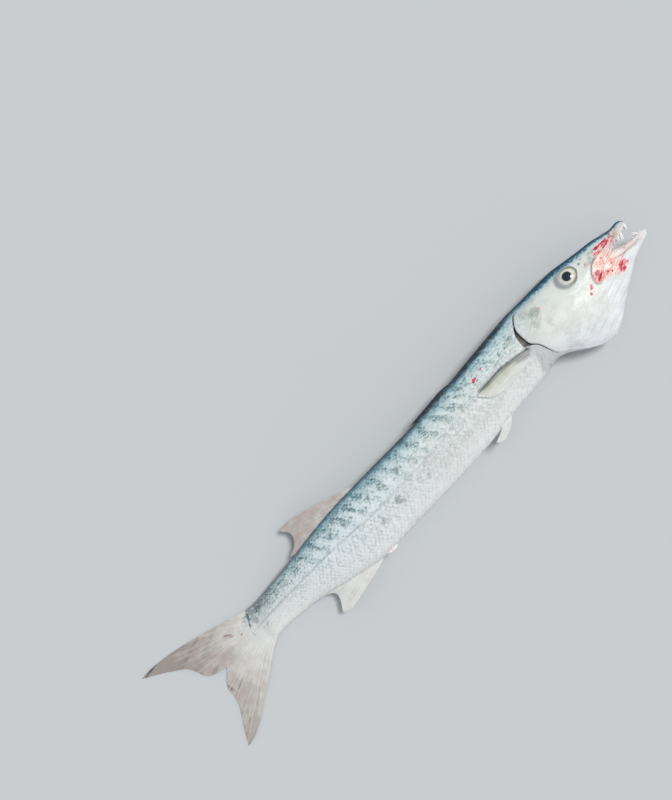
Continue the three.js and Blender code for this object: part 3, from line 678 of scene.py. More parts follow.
def side_paint(tree, value):
    """Colour of the trunk's side, which passes to that of its rear and of the tail's stem."""
    paint = node(tree, "ValToRGB", {0: value["stirred"]}, stops=TRUNK_SIDE)
    for start, end, stops in ((0.07, -0.09, REAR_SIDE), (-0.16, -0.27, STEM_SIDE)):
        colour = node(tree, "ValToRGB", {0: value["stirred"]}, stops=stops)
        share = node(tree, "MapRange", {0: value["x"], 1: start, 2: end})
        paint = node(tree, "Mix", {0: share, 6: paint, 7: colour}, out=2, data_type="RGBA")
    return paint


def fleck_paint(tree, value, paint):
    """Adds flecks of pigment and of silver about the mean.

    Each scale has its own tone, the lightest turning silver white as painted glints, and a darker dot; the
    bars shift whole patches.
    """
    amount = 0.0
    for key, weight in {"fleck": 1.9, "tone": 0.3, "dot": 0.36, "blotch": 0.2, "bars": 0.27}.items():
        amount = node(tree, "Math", {0: value[key], 1: weight, 2: amount}, operation="MULTIPLY_ADD")
    most = node(tree, "ValToRGB", {0: value["down"]}, stops=FLECK_STRENGTH)
    for low, high, stops in ((1.3, 1.62, PIGMENT), (1.27, 0.95, SILVER_AND_GLINTS)):
        colour = node(tree, "ValToRGB", {0: value["down"]}, stops=stops)
        share = node(tree, "MapRange", {0: amount, 1: low, 2: high})
        share = node(tree, "Math", {0: share, 1: most}, operation="MULTIPLY")
        paint = node(tree, "Mix", {0: share, 6: paint, 7: colour}, out=2, data_type="RGBA")
    return paint


def head_paint(tree, value, paint):
    """Adds the plainer head with faint clouds and a broken smudge on the cheek, then painted grey shade."""
    colours = bpy.context.scene.barracuda_colours
    colour = node(tree, "ValToRGB", {0: value["stirred"]}, stops=HEAD_SIDE)
    ahead = node(tree, "MapRange", {0: value["x"], 1: 0.255, 2: 0.3})
    paint = node(tree, "Mix", {0: ahead, 6: paint, 7: colour}, out=2, data_type="RGBA")
    mottle = node(tree, "Mix", {0: 0.45, 2: value["blotch"], 3: value["fleck"]}, data_type="FLOAT")
    clouds = node(tree, "MapRange", {0: mottle, 1: 0.46, 2: 0.58, 3: 0.0, 4: 0.38})
    lower = node(tree, "MapRange", {0: value["down"], 1: 0.12, 2: 0.2})
    for part in (lower, ahead):
        clouds = node(tree, "Math", {0: clouds, 1: part}, operation="MULTIPLY")
    broken = node(tree, "MapRange", {0: mottle, 1: 0.38, 2: 0.6, 3: 0.15, 4: 0.9})
    smudge = node(tree, "Math", {0: value["smudge"], 1: broken}, operation="MULTIPLY")
    # Painted shade last: round the eye, in the grooves and furrows of the head and on the breast below the
    # gill cover
    for share, colour in ((clouds, colours.cheek), (smudge, colours.smudge),
                          (value["shade"], colours.shade)):
        paint = node(tree, "Mix", {0: share, 6: paint, 7: tuple(colour)}, out=2, data_type="RGBA")
    return paint


def flesh_paint(tree, value, paint):
    """Adds the raw flesh of the lips: ragged at its edge and streaked along the jaws."""
    flesh = node(tree, "Math", {0: value["ragged"], 1: 0.9, 2: value["flesh"]}, operation="MULTIPLY_ADD")
    share = node(tree, "MapRange", {0: flesh, 1: 0.75, 2: 1.1, 3: 0.0, 4: 0.95})
    warm = node(tree, "Mix", {0: 0.72, 2: value["ragged"], 3: value["streak"]}, data_type="FLOAT")
    warm = node(tree, "ValToRGB", {0: warm}, stops=WARM_FLESH)
    cool = node(tree, "ValToRGB", {0: value["streak"]}, stops=COOL_FLESH)
    tip = node(tree, "MapRange", {0: value["x"], 1: 0.418, 2: 0.44})
    colour = node(tree, "Mix", {0: tip, 6: warm, 7: cool}, out=2, data_type="RGBA")
    return node(tree, "Mix", {0: share, 6: paint, 7: colour}, out=2, data_type="RGBA")


def dark_paint(tree, value, paint):
    """Adds what is dark: crumbling spots; the lining of the mouth and of the slit, its own grey-brown
    deepened by painted shade; and painted shade in hollows and grooves.
    """
    black = tuple(bpy.context.scene.barracuda_colours.spots)
    crumbs = node(tree, "Mix", {0: 0.5, 2: value["ragged"], 3: value["pores"]}, data_type="FLOAT")
    spots = node(tree, "Math", {0: value["spots"], 1: crumbs}, operation="MULTIPLY")
    spots = node(tree, "MapRange", {0: spots, 1: 0.36, 2: 0.62, 3: 0.0, 4: 0.82})
    lining = node(tree, "ValToRGB", {0: value["inner"]}, stops=LINING_AND_SHADE)
    inner = node(tree, "MapRange", {0: value["inner"], 1: 0.02, 2: 0.3})
    # The hollows take the spots' black as painted shade
    for share, colour in ((spots, black), (inner, lining), (value["pit"], black)):
        paint = node(tree, "Mix", {0: share, 6: paint, 7: colour}, out=2, data_type="RGBA")
    return paint


def stain_paint(tree, value, paint):
    """Adds red stains: pink where they are thin, then crimson, and nearly black where they clot."""
    torn = node(tree, "Mix", {0: 0.55, 2: value["clot"], 3: value["streak"]}, data_type="FLOAT")
    torn = node(tree, "MapRange", {0: torn, 1: 0.4, 2: 0.6, 3: -0.15, 4: 1.0})
    red = node(tree, "Math", {0: value["stain"], 1: torn}, operation="MULTIPLY")
    share = node(tree, "MapRange", {0: red, 1: 0.15, 2: 0.6, 3: 0.0, 4: 0.95})
    thick = node(tree, "MapRange", {0: red, 1: 0.2, 2: 1.5})
    colour = node(tree, "ValToRGB", {0: thick}, stops=BLOOD)
    return node(tree, "Mix", {0: share, 6: paint, 7: colour}, out=2, data_type="RGBA")


def skin_material():
    """Wet fish skin: a thin mucus film over silvery guanine crystals, dark pigment along the back.

    The film gives a clear, sharp gloss, the crystals a soft broad one that tints with what they mirror.
    """
    colours = bpy.context.scene.barracuda_colours
    material, tree, shader, spot, value = new_material(
        SKIN_FINISH, "down", "bars", "spots", "stain", "lateral", "inner", "tone", "dot", "shade",
        "smudge", "pit", "flesh", "pale", "grain")
    value["x"] = node(tree, "SeparateXYZ", {0: spot})
    value.update(skin_patterns(tree, spot, value))
    # Depth down the side, broken up by flecks so that no band has a ruled edge
    stir = node(tree, "MapRange", {0: value["fleck"], 1: 0.3, 2: 0.7, 3: -0.028, 4: 0.028})
    value["stirred"] = node(tree, "Math", {0: value["down"], 1: stir}, operation="ADD")
    paint = fleck_paint(tree, value, side_paint(tree, value))
    lateral = node(tree, "Math", {0: value["lateral"], 1: 0.55}, operation="MULTIPLY")
    for share, colour in ((lateral, colours.lateral), (value["pale"], colours.pale)):
        paint = node(tree, "Mix", {0: share, 6: paint, 7: tuple(colour)}, out=2, data_type="RGBA")
    for layer in (head_paint, flesh_paint, dark_paint, stain_paint):
        paint = layer(tree, value, paint)
    metal = node(tree, "ValToRGB", {0: value["down"]}, stops=CRYSTALS)
    behind = node(tree, "MapRange", {0: value["x"], 1: 0.3, 2: 0.26})
    metal = node(tree, "Math", {0: metal, 1: behind}, operation="MULTIPLY")
    dull = node(tree, "MapRange", {0: value["down"], 1: 0.12, 2: 0.02, 3: 0.0, 4: 0.2})
    gloss = node(tree, "Math", {0: value["fleck"], 1: 0.4, 2: dull}, operation="MULTIPLY_ADD")
    gloss = node(tree, "Math", {0: gloss, 1: 0.2}, operation="ADD")
    bump = node(tree, "Bump", {"Height": value["pores"], "Strength": 0.25, "Distance": 0.0002})
    set_inputs(tree, shader, {
        "Base Color": paint, "Metallic": metal, "Roughness": gloss, "Normal": bump,
        "Specular IOR Level": 0.28, "Coat Weight": 0.05, "Coat Roughness": 0.14})
    return material


def fin_material():
    """Fin membrane: thin clouded skin stretched between bony rays, which stay a little paler."""
    colours = bpy.context.scene.barracuda_colours
    material, tree, shader, spot, value = new_material(
        "Clouded fin membrane", "tint", "ray", "pink", "dusk", "green", "out", "fan")
    cloud = node(tree, "TexNoise", {"Vector": spot, "Scale": FIN_CLOUD_SIZE, "Detail": 5.0,
                                    "Roughness": 0.62})
    fine = node(tree, "TexNoise", {"Vector": spot, "Scale": FIN_GRAIN_SIZE, "Detail": 3.0})
    # Streaks that run out along the rays
    along = node(tree, "CombineXYZ", {0: value["fan"], 1: value["out"]})
    along = node(tree, "Mapping", {0: along, 3: FIN_STREAKS})
    streak = node(tree, "TexNoise", {"Vector": along, "Scale": 1.0, "Detail": 4.0, "Roughness": 0.6})
    tint = value["tint"]
    for part, reach in ((cloud, 0.16), (streak, 0.2)):
        drift = node(tree, "MapRange", {0: part, 1: 0.3, 2: 0.7, 3: -reach, 4: reach})
        tint = node(tree, "Math", {0: tint, 1: drift}, operation="ADD")
    paint = node(tree, "ValToRGB", {0: tint}, stops=[
        (0.0, "#e3e4e1"), (0.3, "#cfcdc8"), (0.6, "#b7b1aa"), (1.0, "#958b84")])
    worn = node(tree, "MapRange", {0: fine, 1: 0.35, 2: 0.65, 3: 0.15, 4: 0.6})
    pale = node(tree, "Math", {0: value["ray"], 1: worn}, operation="MULTIPLY")
    paint = node(tree, "Mix", {0: pale, 6: paint, 7: tuple(colours.fin_ray)}, out=2, data_type="RGBA")
    # Pink and green clouds, then the dark: the fins' own dusky colour, and on the pectoral fins also a
    # painted shadow line along the front edge
    for key, breaks, low, high, most, colour in (
            ("pink", cloud, 0.2, 0.7, 0.65, colours.fin_pink),
            ("green", cloud, 0.15, 0.6, 0.75, colours.fin_green),
            ("dusk", streak, 0.25, 0.7, 0.96, colours.fin_dusk_and_shadow)):
        share = node(tree, "Math", {0: value[key], 1: breaks}, operation="MULTIPLY")
        share = node(tree, "MapRange", {0: share, 1: low, 2: high, 3: 0.0, 4: most})
        paint = node(tree, "Mix", {0: share, 6: paint, 7: tuple(colour)}, out=2, data_type="RGBA")
    gloss = node(tree, "MapRange", {0: cloud, 1: 0.3, 2: 0.7, 3: 0.38, 4: 0.58})
    bump = node(tree, "Bump", {"Height": fine, "Strength": 0.2, "Distance": 0.0002})
    set_inputs(tree, shader, {
        "Base Color": paint, "Roughness": gloss, "Normal": bump,
        "Specular IOR Level": 0.35, "Coat Weight": 0.08, "Coat Roughness": 0.15})
    return material


def eye_material():
    """A fish's eye: a clear wet cornea over a silvery iris and a deep pupil."""
    colours = bpy.context.scene.barracuda_colours
    material, tree, shader, spot, value = new_material("Wet eye", "reach")
    cloud = node(tree, "TexNoise", {"Vector": spot, "Scale": IRIS_CLOUD_SIZE, "Detail": 4.0})
    wander = node(tree, "MapRange", {0: cloud, 1: 0.3, 2: 0.7, 3: -0.02, 4: 0.02})
    reach = node(tree, "Math", {0: value["reach"], 1: wander}, operation="ADD")
    # The pupil is near black with a faint blue, a painted reflection of the sky
    iris = node(tree, "ValToRGB", {0: reach}, stops=[
        (0.0, "#060a12"), (0.395, "#0f1a2a"), (0.43, "#55544a"), (0.47, "#d9dacb"), (0.56, "#eaece4"),
        (0.66, "#d9dacb"), (0.74, "#b5b6a3"), (0.8, "#7e7e77"), (1.0, "#6a6a6c")])
    warm = node(tree, "MapRange", {0: cloud, 1: 0.45, 2: 0.7, 3: 0.0, 4: 0.5})
    ring = node(tree, "MapRange", {0: reach, 1: 0.46, 2: 0.52})
    warm = node(tree, "Math", {0: warm, 1: ring}, operation="MULTIPLY")
    paint = node(tree, "Mix", {0: warm, 6: iris, 7: tuple(colours.iris)}, out=2, data_type="RGBA")
    gloss = node(tree, "MapRange", {0: cloud, 1: 0.3, 2: 0.7, 3: 0.18, 4: 0.3})
    set_inputs(tree, shader, {
        "Base Color": paint, "Roughness": gloss, "Coat Weight": 1.0, "Coat Roughness": 0.02, "IOR": 1.38})
    return material


def tooth_material():
    """Enamel: hard, milky and slightly translucent, ivory towards the gum."""
    material, tree, shader, spot, value = new_material("Fang enamel", "out")
    grain = node(tree, "TexNoise", {"Vector": spot, "Scale": ENAMEL_GRAIN_SIZE, "Detail": 3.0})
    paint = node(tree, "ValToRGB", {0: value["out"]}, stops=[
        (0.0, "#ead9cf"), (0.25, "#f3eee8"), (0.45, "#fafaf8"), (1.0, "#fdfdfc")])
    gloss = node(tree, "MapRange", {0: grain, 1: 0.3, 2: 0.7, 3: 0.12, 4: 0.28})
    set_inputs(tree, shader, {
        "Base Color": paint, "Roughness": gloss, "IOR": 1.62,
        "Subsurface Weight": 0.15, "Subsurface Radius": (0.001, 0.0007, 0.0005)})
    return material


def floor_material():
    """Matt painted board: even and pale, with a faint mottle."""
    colours = bpy.context.scene.barracuda_colours
    material, tree, shader, spot, _ = new_material("Matt painted board")
    mottle = node(tree, "TexNoise", {"Vector": spot, "Scale": FLOOR_MOTTLE_SIZE, "Detail": 3.0})
    gloss = node(tree, "MapRange", {0: mottle, 1: 0.3, 2: 0.7, 3: 0.75, 4: 0.85})
    set_inputs(tree, shader, {"Base Color": tuple(colours.floor), "Roughness": gloss})
    return material


# Columns of stations from the tail to the tips of the jaws, and rows over the upper and the lower half
TRUNK_COLUMNS = 104
LEAD_COLUMNS = 8
FOLD_COLUMNS = 50
CHEEK_COLUMNS = 116
JAW_COLUMNS = 92
UPPER_ROWS = 128
LOWER_ROWS = 88
LEAD_START = 225
POCKET_COLUMNS = 24
POCKET_END = 336  # where the mouth closes behind
MOUTH_ROWS = 40
# Where the flesh closes between the tail's rays
TAIL_POINT = (FLESH_END, 16, 3.7)
# What part of the skin's UV map each of its sheets takes up, across the fish
SHEET_BANDS = [(0.0, 0.46), (0.47, 0.86), (0.87, 0.93), (0.94, 1.0)]


def fold_line(share):
    """The fold's forward distance, in shares of the gape and in millimetres, and its height."""
    table = np.array(FOLD, float)
    known = np.linspace(0, 1, len(table))
    return [np.interp(share, known, table[:, i]) for i in range(3)]


def body_columns(turn):
    """Stations, height over the skin and depth in the slit for each column behind the mouth and each row.

    Columns follow the edge of the gill cover where they pass it. A row dives under the edge and comes back
    over it as a fold; at the ends of the slit the fold fades into even columns.
    """
    angle = np.degrees(np.arcsin(np.sin(turn)))[None, :]
    edge, gape, fold, reach = (line(angle) for line in (cover_edge, slit_gape, slit_fold, cover_reach))
    start, end = edge - gape - 6, edge + reach
    trunk = FLESH_END + (LEAD_START - FLESH_END) * np.linspace(0, 1, TRUNK_COLUMNS, endpoint=False)[:, None]
    lead = LEAD_START + (start - LEAD_START) * np.linspace(0, 1, LEAD_COLUMNS, endpoint=False)[:, None]
    share = np.linspace(0, 1, FOLD_COLUMNS, endpoint=False)[:, None]
    of_gape, ahead, height = fold_line(share)
    folded = edge + of_gape * gape + np.where(ahead > 0, ahead * reach / FOLD[-1][1], ahead)
    folded = folded * fold + (start + (end - start) * share) * (1 - fold)
    cheek = end + (MOUTH_CORNER[0] - end) * np.linspace(0, 1, CHEEK_COLUMNS)[:, None]
    x = np.concatenate([trunk * np.ones_like(angle), lead, folded, cheek])
    # Painted shade: the slit darkens inwards, near its upper end nearly at once, and lower down in two
    # steps
    first, last = FOLD_SLIT[0] / (len(FOLD) - 1), FOLD_SLIT[-1] / (len(FOLD) - 1)
    at_once = 0.6 + 0.35 * smooth(14, 26, angle)
    inside = (at_once * smooth(first - 0.05, first + 0.02, share)
              + (1 - at_once) * smooth(first + 0.05, first + 0.12, share))
    inside = inside * (1 - smooth(last - 0.06, last, share))
    plain = ((TRUNK_COLUMNS + LEAD_COLUMNS, CHEEK_COLUMNS), (0, 0))
    return x, np.pad(height * fold, plain), np.pad(inside * smooth(0, 0.5, fold), plain)


def head_relief(x, y):
    """Height of the head's own forms over the plain section, in millimetres.

    Plates stand up with soft edges from their outlines, and grooves sink along their lines.
    """
    relief = 0.8 * smooth(-1, 1.2, outline_depth(MAXILLA, x, y))
    relief += 0.6 * smooth(-1, 1.2, outline_depth(LOWER_LIP, x, y))
    lids = lid_reach(x, y)
    relief += 1.5 * smooth(0.9, 1.02, lids) * (1 - smooth(1.06, 1.45, lids))
    relief -= 2.2 * (1 - smooth(0.76, 0.94, lids))
    relief += blots(x, y, CHEEK_SWELLS)
    relief -= 0.3 * (1 - smooth(0, 4.5, line_distance(PREOPERCLE, x, y)))
    relief += 0.5 * (1 - smooth(1, 5, line_distance(SUBORBITAL, x, y)))
    relief -= 0.6 * (1 - smooth(0.2, 1.4, line_distance(SNOUT_SEAM, x, y)))
    for rib in OPERCLE_RIBS:
        relief += 0.35 * (1 - smooth(0.5, 3.5, line_distance(rib, x, y)))
    for cx, cy, size in NOSTRILS:
        off = np.hypot(x - cx, (y - cy) * 1.3)
        relief += 0.35 * (1 - smooth(size, size * 1.8, off)) - 2.2 * (1 - smooth(size * 0.35, size, off))
    return relief + 0.55 * throat_creases(x, y)


def throat_creases(x, y):
    """Long shallow folds of the throat's skin, from -1 in a furrow to 1 on a fold."""
    share = down_share(np.stack([x, y], -1))
    area = smooth(0.55, 0.75, share) * smooth(292, 325, x) * (1 - smooth(392, 420, x))
    crease = 0.6 * np.sin(0.62 * y - 0.19 * x + 1.6 * np.sin(0.05 * x + 0.3) + 0.6 * np.sin(0.21 * y))
    crease += 0.4 * np.sin(1.15 * y - 0.4 * x + 1.3 * np.sin(0.06 * x))
    return crease * area * (0.6 + 0.4 * np.sin(0.09 * x + 0.13 * y))


def lid_reach(x, y):
    """Distance from the eye's middle, 1 at the rim of its opening, which slopes to the snout."""
    dx, dy = x - EYE["x"], y - EYE["y"]
    return np.hypot((dx - dy) / np.sqrt(2) / EYE_OPENING[0], (dx + dy) / np.sqrt(2) / EYE_OPENING[1])


def rounded_tip(points, tip, radius, centre):
    """Draws the last sections of a jaw in to a round end: they shrink as the height of a circle does."""
    x = points[..., 0]
    part = np.clip((x - (tip - radius)) / radius, 0, 1)
    size = np.sqrt(np.maximum(1 - part**2, 0))[..., None]
    middle = np.stack([x, np.full_like(x, centre), middle_height(x)], -1)
    return middle + (points - middle) * size


def skin_values(points, inside):
    """The named values that the skin's finish reads, at each point."""
    x, y = points[..., 0], points[..., 1]
    near = points[..., 2] > middle_height(x)
    values = markings(points)
    # Painted shade: a curved band round the rear of the eye under its rim, a line in the groove behind the
    # upper jaw's plate, and the furrows of the throat
    crescent = np.clip(blots(x, y, CRESCENT_SHADE) * 2, 0, 0.9) * smooth(0.9, 0.98, lid_reach(x, y))
    plate = outline_depth(MAXILLA, x, y)
    crease = (0.9 - 0.9 * smooth(0.3, 2, np.abs(plate + 1.1))) * (1 - smooth(405, 425, x))
    furrow = 0.3 * np.clip(-throat_creases(x, y), 0, 1)
    values["shade"] = np.maximum.reduce([values["shade"], crescent, crease, furrow])
    values["smudge"] = np.where(near, blots(x, y, SMUDGES), 0)
    # Raw flesh shows on the upper jaw's plate, the snout, the lower lip and parts of the lower jaw
    snout = 0.45 * smooth(432, 448, x) * smooth(0.03, 0.1, values["down"])
    lip = smooth(-2.5, 1.2, outline_depth(LOWER_LIP, x, y)) * (0.95 - 0.45 * smooth(440, 462, x))
    raw = [0.85 * smooth(-2, 1, plate), np.where(y > GAPE_LEVEL, snout, 0), lip, blots(x, y, RAW)]
    values["flesh"] = np.where(x > 340, np.maximum.reduce(raw), values["flesh"])
    # Painted shade in hollows: along the groove round the upper jaw's plate, in the pore and the nostrils
    # and along the snout's seam, joined to the painted shadow under the pectoral fin's edge
    plate_groove_shade = (0.45 - 0.45 * smooth(0.2, 1.4, np.abs(plate + 1))) * smooth(20, 24, y)
    pit_shades = [values["pit"], 0.5 - 0.5 * smooth(0.8, 2.4, np.hypot(x - PORE[0], y - PORE[1])),
            0.8 - 0.8 * smooth(0.3, 1.3, line_distance(SNOUT_SEAM, x, y)),
            plate_groove_shade * (1 - smooth(396, 408, x))]
    for cx, cy, size in NOSTRILS:
        off = np.hypot(x - cx, (y - cy) * 1.4)
        pit_shades.append(0.8 - 0.8 * smooth(size * 0.4, size * 1.3, off))
    values["pit"] = np.maximum.reduce(pit_shades)
    # Streaks along the jaws run at even shares of the way from the rim of the mouth to the jaw's far edge
    rim = np.where(y > GAPE_LEVEL, upper_rim(x), lower_rim(x))
    far_edge = np.where(y > rim, back_line(x), belly_line(x))
    values["grain"] = 14 * (y - rim) / np.maximum(np.abs(far_edge - rim), 4)
    values["inner"] = inside
    values["tone"] = np.full_like(x, 0.5)
    values["dot"] = np.zeros_like(x)
    return values


def lining_values(points):
    """skin_values for the lining of the mouth: raw flesh, with painted shade that darkens it towards the
    throat but not at the lips.
    """
    values = skin_values(points, np.zeros(points.shape[:2]))
    row = np.arange(points.shape[1])
    from_lip = np.clip(np.minimum(row, row[::-1]) / 6, 0, 1)
    # Painted shade: the lining darkens from the lips towards the throat
    values["inner"] = (1 - smooth(376, 412, points[..., 0])) * 0.5 * from_lip
    values["flesh"] = np.full_like(values["down"], 0.9)
    values["down"] = np.full_like(values["down"], 0.7)
    return values


def skin_grids():
    """The outer skin as an upper and a lower grid that share their edge rows as far as the mouth's corner.

    Each runs on past it as one jaw. Points are section_point moved out along the normal.
    """
    grids = []
    for upper, count, rim, tip, tip_radius, tip_height in (
            (True, UPPER_ROWS, upper_rim, UPPER_JAW_TIP, 6, 44),
            (False, LOWER_ROWS, lower_rim, LOWER_JAW_TIP, 3.5, 14)):
        share = np.linspace(0, 1, count + 1)
        x, lift, inside = body_columns(np.pi * share if upper else np.pi * (1 + share))
        steps = 1 - (1 - np.linspace(0, 1, JAW_COLUMNS + 1)[1:, None]) ** 1.25
        x = np.concatenate([x, MOUTH_CORNER[0] + (tip - MOUTH_CORNER[0]) * steps * np.ones((1, count + 1))])
        lift, inside = (np.pad(plane, ((0, JAW_COLUMNS), (0, 0))) for plane in (lift, inside))
        edge = turn_at(x, np.where(x > MOUTH_CORNER[0], rim(x), split_line(x)))
        turn = edge + (np.pi - 2 * edge) * share if upper else np.pi - edge + (np.pi + 2 * edge) * share
        points = section_point(x, turn)
        normal = section_normal(x, turn)
        front = slice(TRUNK_COLUMNS, None)
        relief = np.zeros_like(x)
        relief[front] = head_relief(points[front, :, 0], points[front, :, 1])
        coat = COAT * (1 - smooth(255, 300, x)) * smooth(FLESH_END, TAIL_ROOT, x)
        relief = relief * smooth(258, 268, x) - coat
        points = points + normal * (relief * (1 - inside) + lift)[..., None]
        points[..., 2] = np.maximum(points[..., 2], FLOOR_GAP)
        grids.append((rounded_tip(points, tip, tip_radius, tip_height), inside))
    return grids


def mouth_lining(outer, upper):
    """Palate or floor of the mouth, from the right lip across to the left, back to the throat's pocket.

    Each section runs straight between the lips, rolls over them and then arches to the roof or the floor.
    """
    start = len(outer) - JAW_COLUMNS - 1
    right, left = outer[start:, 0 if upper else -1], outer[start:, -1 if upper else 0]
    back_x = np.linspace(POCKET_END, MOUTH_CORNER[0], POCKET_COLUMNS, endpoint=False)
    half = mouth_half(back_x)
    level = np.where(back_x > 370, split_line(back_x), (mouth_roof(back_x) + mouth_floor(back_x)) / 2)
    level = level + (MOUTH_CORNER[1] - level) * smooth(360, MOUTH_CORNER[0], back_x)
    inner = [np.stack([back_x, level, middle_height(back_x) + side * half], -1) for side in (1, -1)]
    right, left = np.concatenate([inner[0], right]), np.concatenate([inner[1], left])
    t = np.linspace(-1, 1, MOUTH_ROWS + 1)
    across = (left[:, None] * (1 + t[:, None]) + right[:, None] * (1 - t[:, None])) / 2
    u = 1 - np.abs(t)[None, :]
    x = across[..., 0]
    away = 1 if upper else -1
    target = mouth_roof(x) if upper else mouth_floor(x)
    arch = (target - across[..., 1]) * smooth(0.07, 0.62, u)
    roll = -away * 0.45 * np.sin(np.pi * np.clip(u / 0.13, 0, 1)) * smooth(379, 384, x)
    tongue = 0 if upper else 3.2 * smooth(0.62, 0.9, u) * smooth(372, 396, x) * (1 - smooth(436, 446, x))
    across[..., 1] += arch + roll + tongue
    across[0] = across[0].mean(0)
    return across


def close_tail(points, inside):
    """A skin grid with one more column before its first, all at the point where the flesh ends."""
    end = np.broadcast_to(TAIL_POINT, (1, *points.shape[1:]))
    return np.concatenate([end, points]), np.pad(inside, ((1, 0), (0, 0)))


class BARRACUDA_OT_skin(bpy.types.Operator):
    """One continuous skin from the tail's root to both jaws, with gill covers and the mouth's lining"""

    bl_idname = "barracuda.skin"
    bl_label = "Skin"

    def execute(self, context):
        upper, lower = skin_grids()
        outer = [close_tail(*upper), close_tail(*lower)]
        sheets = [(sheet, skin_values(sheet, inside), False) for sheet, inside in outer]
        for (grid, _), palate in ((upper, True), (lower, False)):
            sheet = mouth_lining(grid, palate)
            sheets.append((sheet, lining_values(sheet), palate))
        points, faces, uvs, first = [], [], [], 0
        for (sheet, _, turned), (v0, v1) in zip(sheets, SHEET_BANDS):
            columns, rows = sheet.shape[:2]
            u, v = np.linspace(0, 1, columns), v0 + (v1 - v0) * np.linspace(0, 1, rows)
            points.append(sheet.reshape(-1, 3))
            faces.append(grid_faces(columns, rows, first, turned))
            uvs.append(np.stack(np.meshgrid(u, v, indexing="ij"), -1).reshape(-1, 2))
            first += columns * rows
        values = {key: np.concatenate([marks[key].ravel() for _, marks, _ in sheets])
                  for key in sheets[0][1]}
        skin = make_piece("body_skin", np.concatenate(points), np.concatenate(faces), skin_material(),
                          values, np.concatenate(uvs), weld=0.002)
        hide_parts("head", "lower_jaw", "throat", "trunk_front", "trunk_rear", "tail_stem",
                    "gill_cover_right", "gill_cover_left")
        return {"FINISHED"}


class BARRACUDA_OT_vent(bpy.types.Operator):
    """The fleshy rim of the vent: a small ellipsoid sunk in the belly, nicked into two lobes"""

    bl_idname = "barracuda.vent"
    bl_label = "Vent"

    def execute(self, context):
        polar = np.linspace(0, np.pi, VENT_RIM["points"])[:, None]
        around = np.linspace(0, 2 * np.pi, VENT_RIM["points"])[None, :]
        along = VENT_RIM["long"] * np.cos(polar) + 0 * around
        thick = np.sin(polar) * (1 - 0.22 * np.exp(-((along + 1.5) / 1.6) ** 2))
        points = np.stack([along, VENT_RIM["deep"] * thick * np.cos(around),
                           VENT_RIM["wide"] * thick * np.sin(around)], -1) + VENT_RIM["middle"]
        values = skin_values(points, np.zeros(along.shape))
        values["flesh"] = np.full(along.shape, VENT_RIM["flesh"])
        make_piece("vent_rim", points, grid_faces(*along.shape), bpy.data.materials[SKIN_FINISH],
                   values, weld=0.0005)
        return {"FINISHED"}


# Spacing of the scales along the body
scale_pitch = profile([
    (-334, 3.4), (-318, 4), (-290, 4.8), (-240, 5.9), (-150, 6.9), (0, 7.1), (170, 7.1), (230, 6.4),
    (262, 5.2), (300, 3.4)])

# Each scale is a plate with this many points along either side, and as many again below
PLATE = 5
PLATE_POINTS = 2 * PLATE**2
PLATE_ALONG = np.linspace(-1, 1, PLATE)[:, None]
PLATE_ACROSS = np.linspace(-1, 1, PLATE)[None, :]
PLATE_PATCH = 0.0015  # half the side of a scale's patch in the UV map


def keep_sharp(piece, chosen):
    """Marks the edges of a piece whose two vertex numbers meet a test, so that shading breaks there."""
    ends = np.empty(len(piece.data.edges) * 2, np.int32)
    piece.data.edges.foreach_get("vertices", ends)
    sharp = piece.data.attributes.new("sharp_edge", "BOOLEAN", "EDGE")
    sharp.data.foreach_set("value", chosen(ends.reshape(-1, 2)))


def closed_sheet(columns, rows, turned=False):
    """Faces of two like grids of points joined at their rims, and the numbers of the first one's rim."""
    size = columns * rows
    grid = np.arange(size).reshape(columns, rows)
    rim = np.concatenate([grid[:, 0], grid[-1, 1:], grid[-2::-1, -1], grid[0, -2:0:-1]])
    after = np.roll(rim, -1)
    wall = np.stack([rim, rim + size, after + size, after], -1)
    faces = np.concatenate([grid_faces(columns, rows), grid_faces(columns, rows, size, True), wall])
    return faces[:, [0, 3, 2, 1]] if turned else faces, rim


def scale_places(rows, draw):
    """Station and turn of each scale, in staggered rows spaced by scale_pitch and shifted by chance."""
    fine = np.linspace(-334, SCALES_END, 2000)
    count_along = np.concatenate([[0], np.cumsum(np.diff(fine) / scale_pitch(fine[:-1]))])
    columns = np.arange(0, int(count_along[-1] * 2))
    x = np.interp(columns / 2, count_along, fine)[:, None] * np.ones((1, rows))
    turn = 2 * np.pi * (np.arange(rows)[None, :] + 0.5 * (columns % 2)[:, None] + 0.25) / rows
    x, turn = x.ravel(), turn.ravel()
    angle = np.degrees(np.arcsin(np.sin(turn)))
    # The skin stays bare beside the gill slit
    bare = 1.2 + 4.6 * smooth(58, 50, angle)
    room = np.where(angle > 55, SCALES_END, np.minimum(cover_edge(angle) - slit_gape(angle) - bare, 268))
    # They thin out over the root of the tail's rays
    kept = (x < room) & (x > -300 - 30 * draw.random(x.shape) ** 0.7)
    x, turn = x[kept, None, None], turn[kept, None, None]
    x = x + draw.normal(0, 0.03, x.shape) * scale_pitch(x)
    return x, turn + draw.normal(0, 0.018, x.shape) * 2 * np.pi / rows


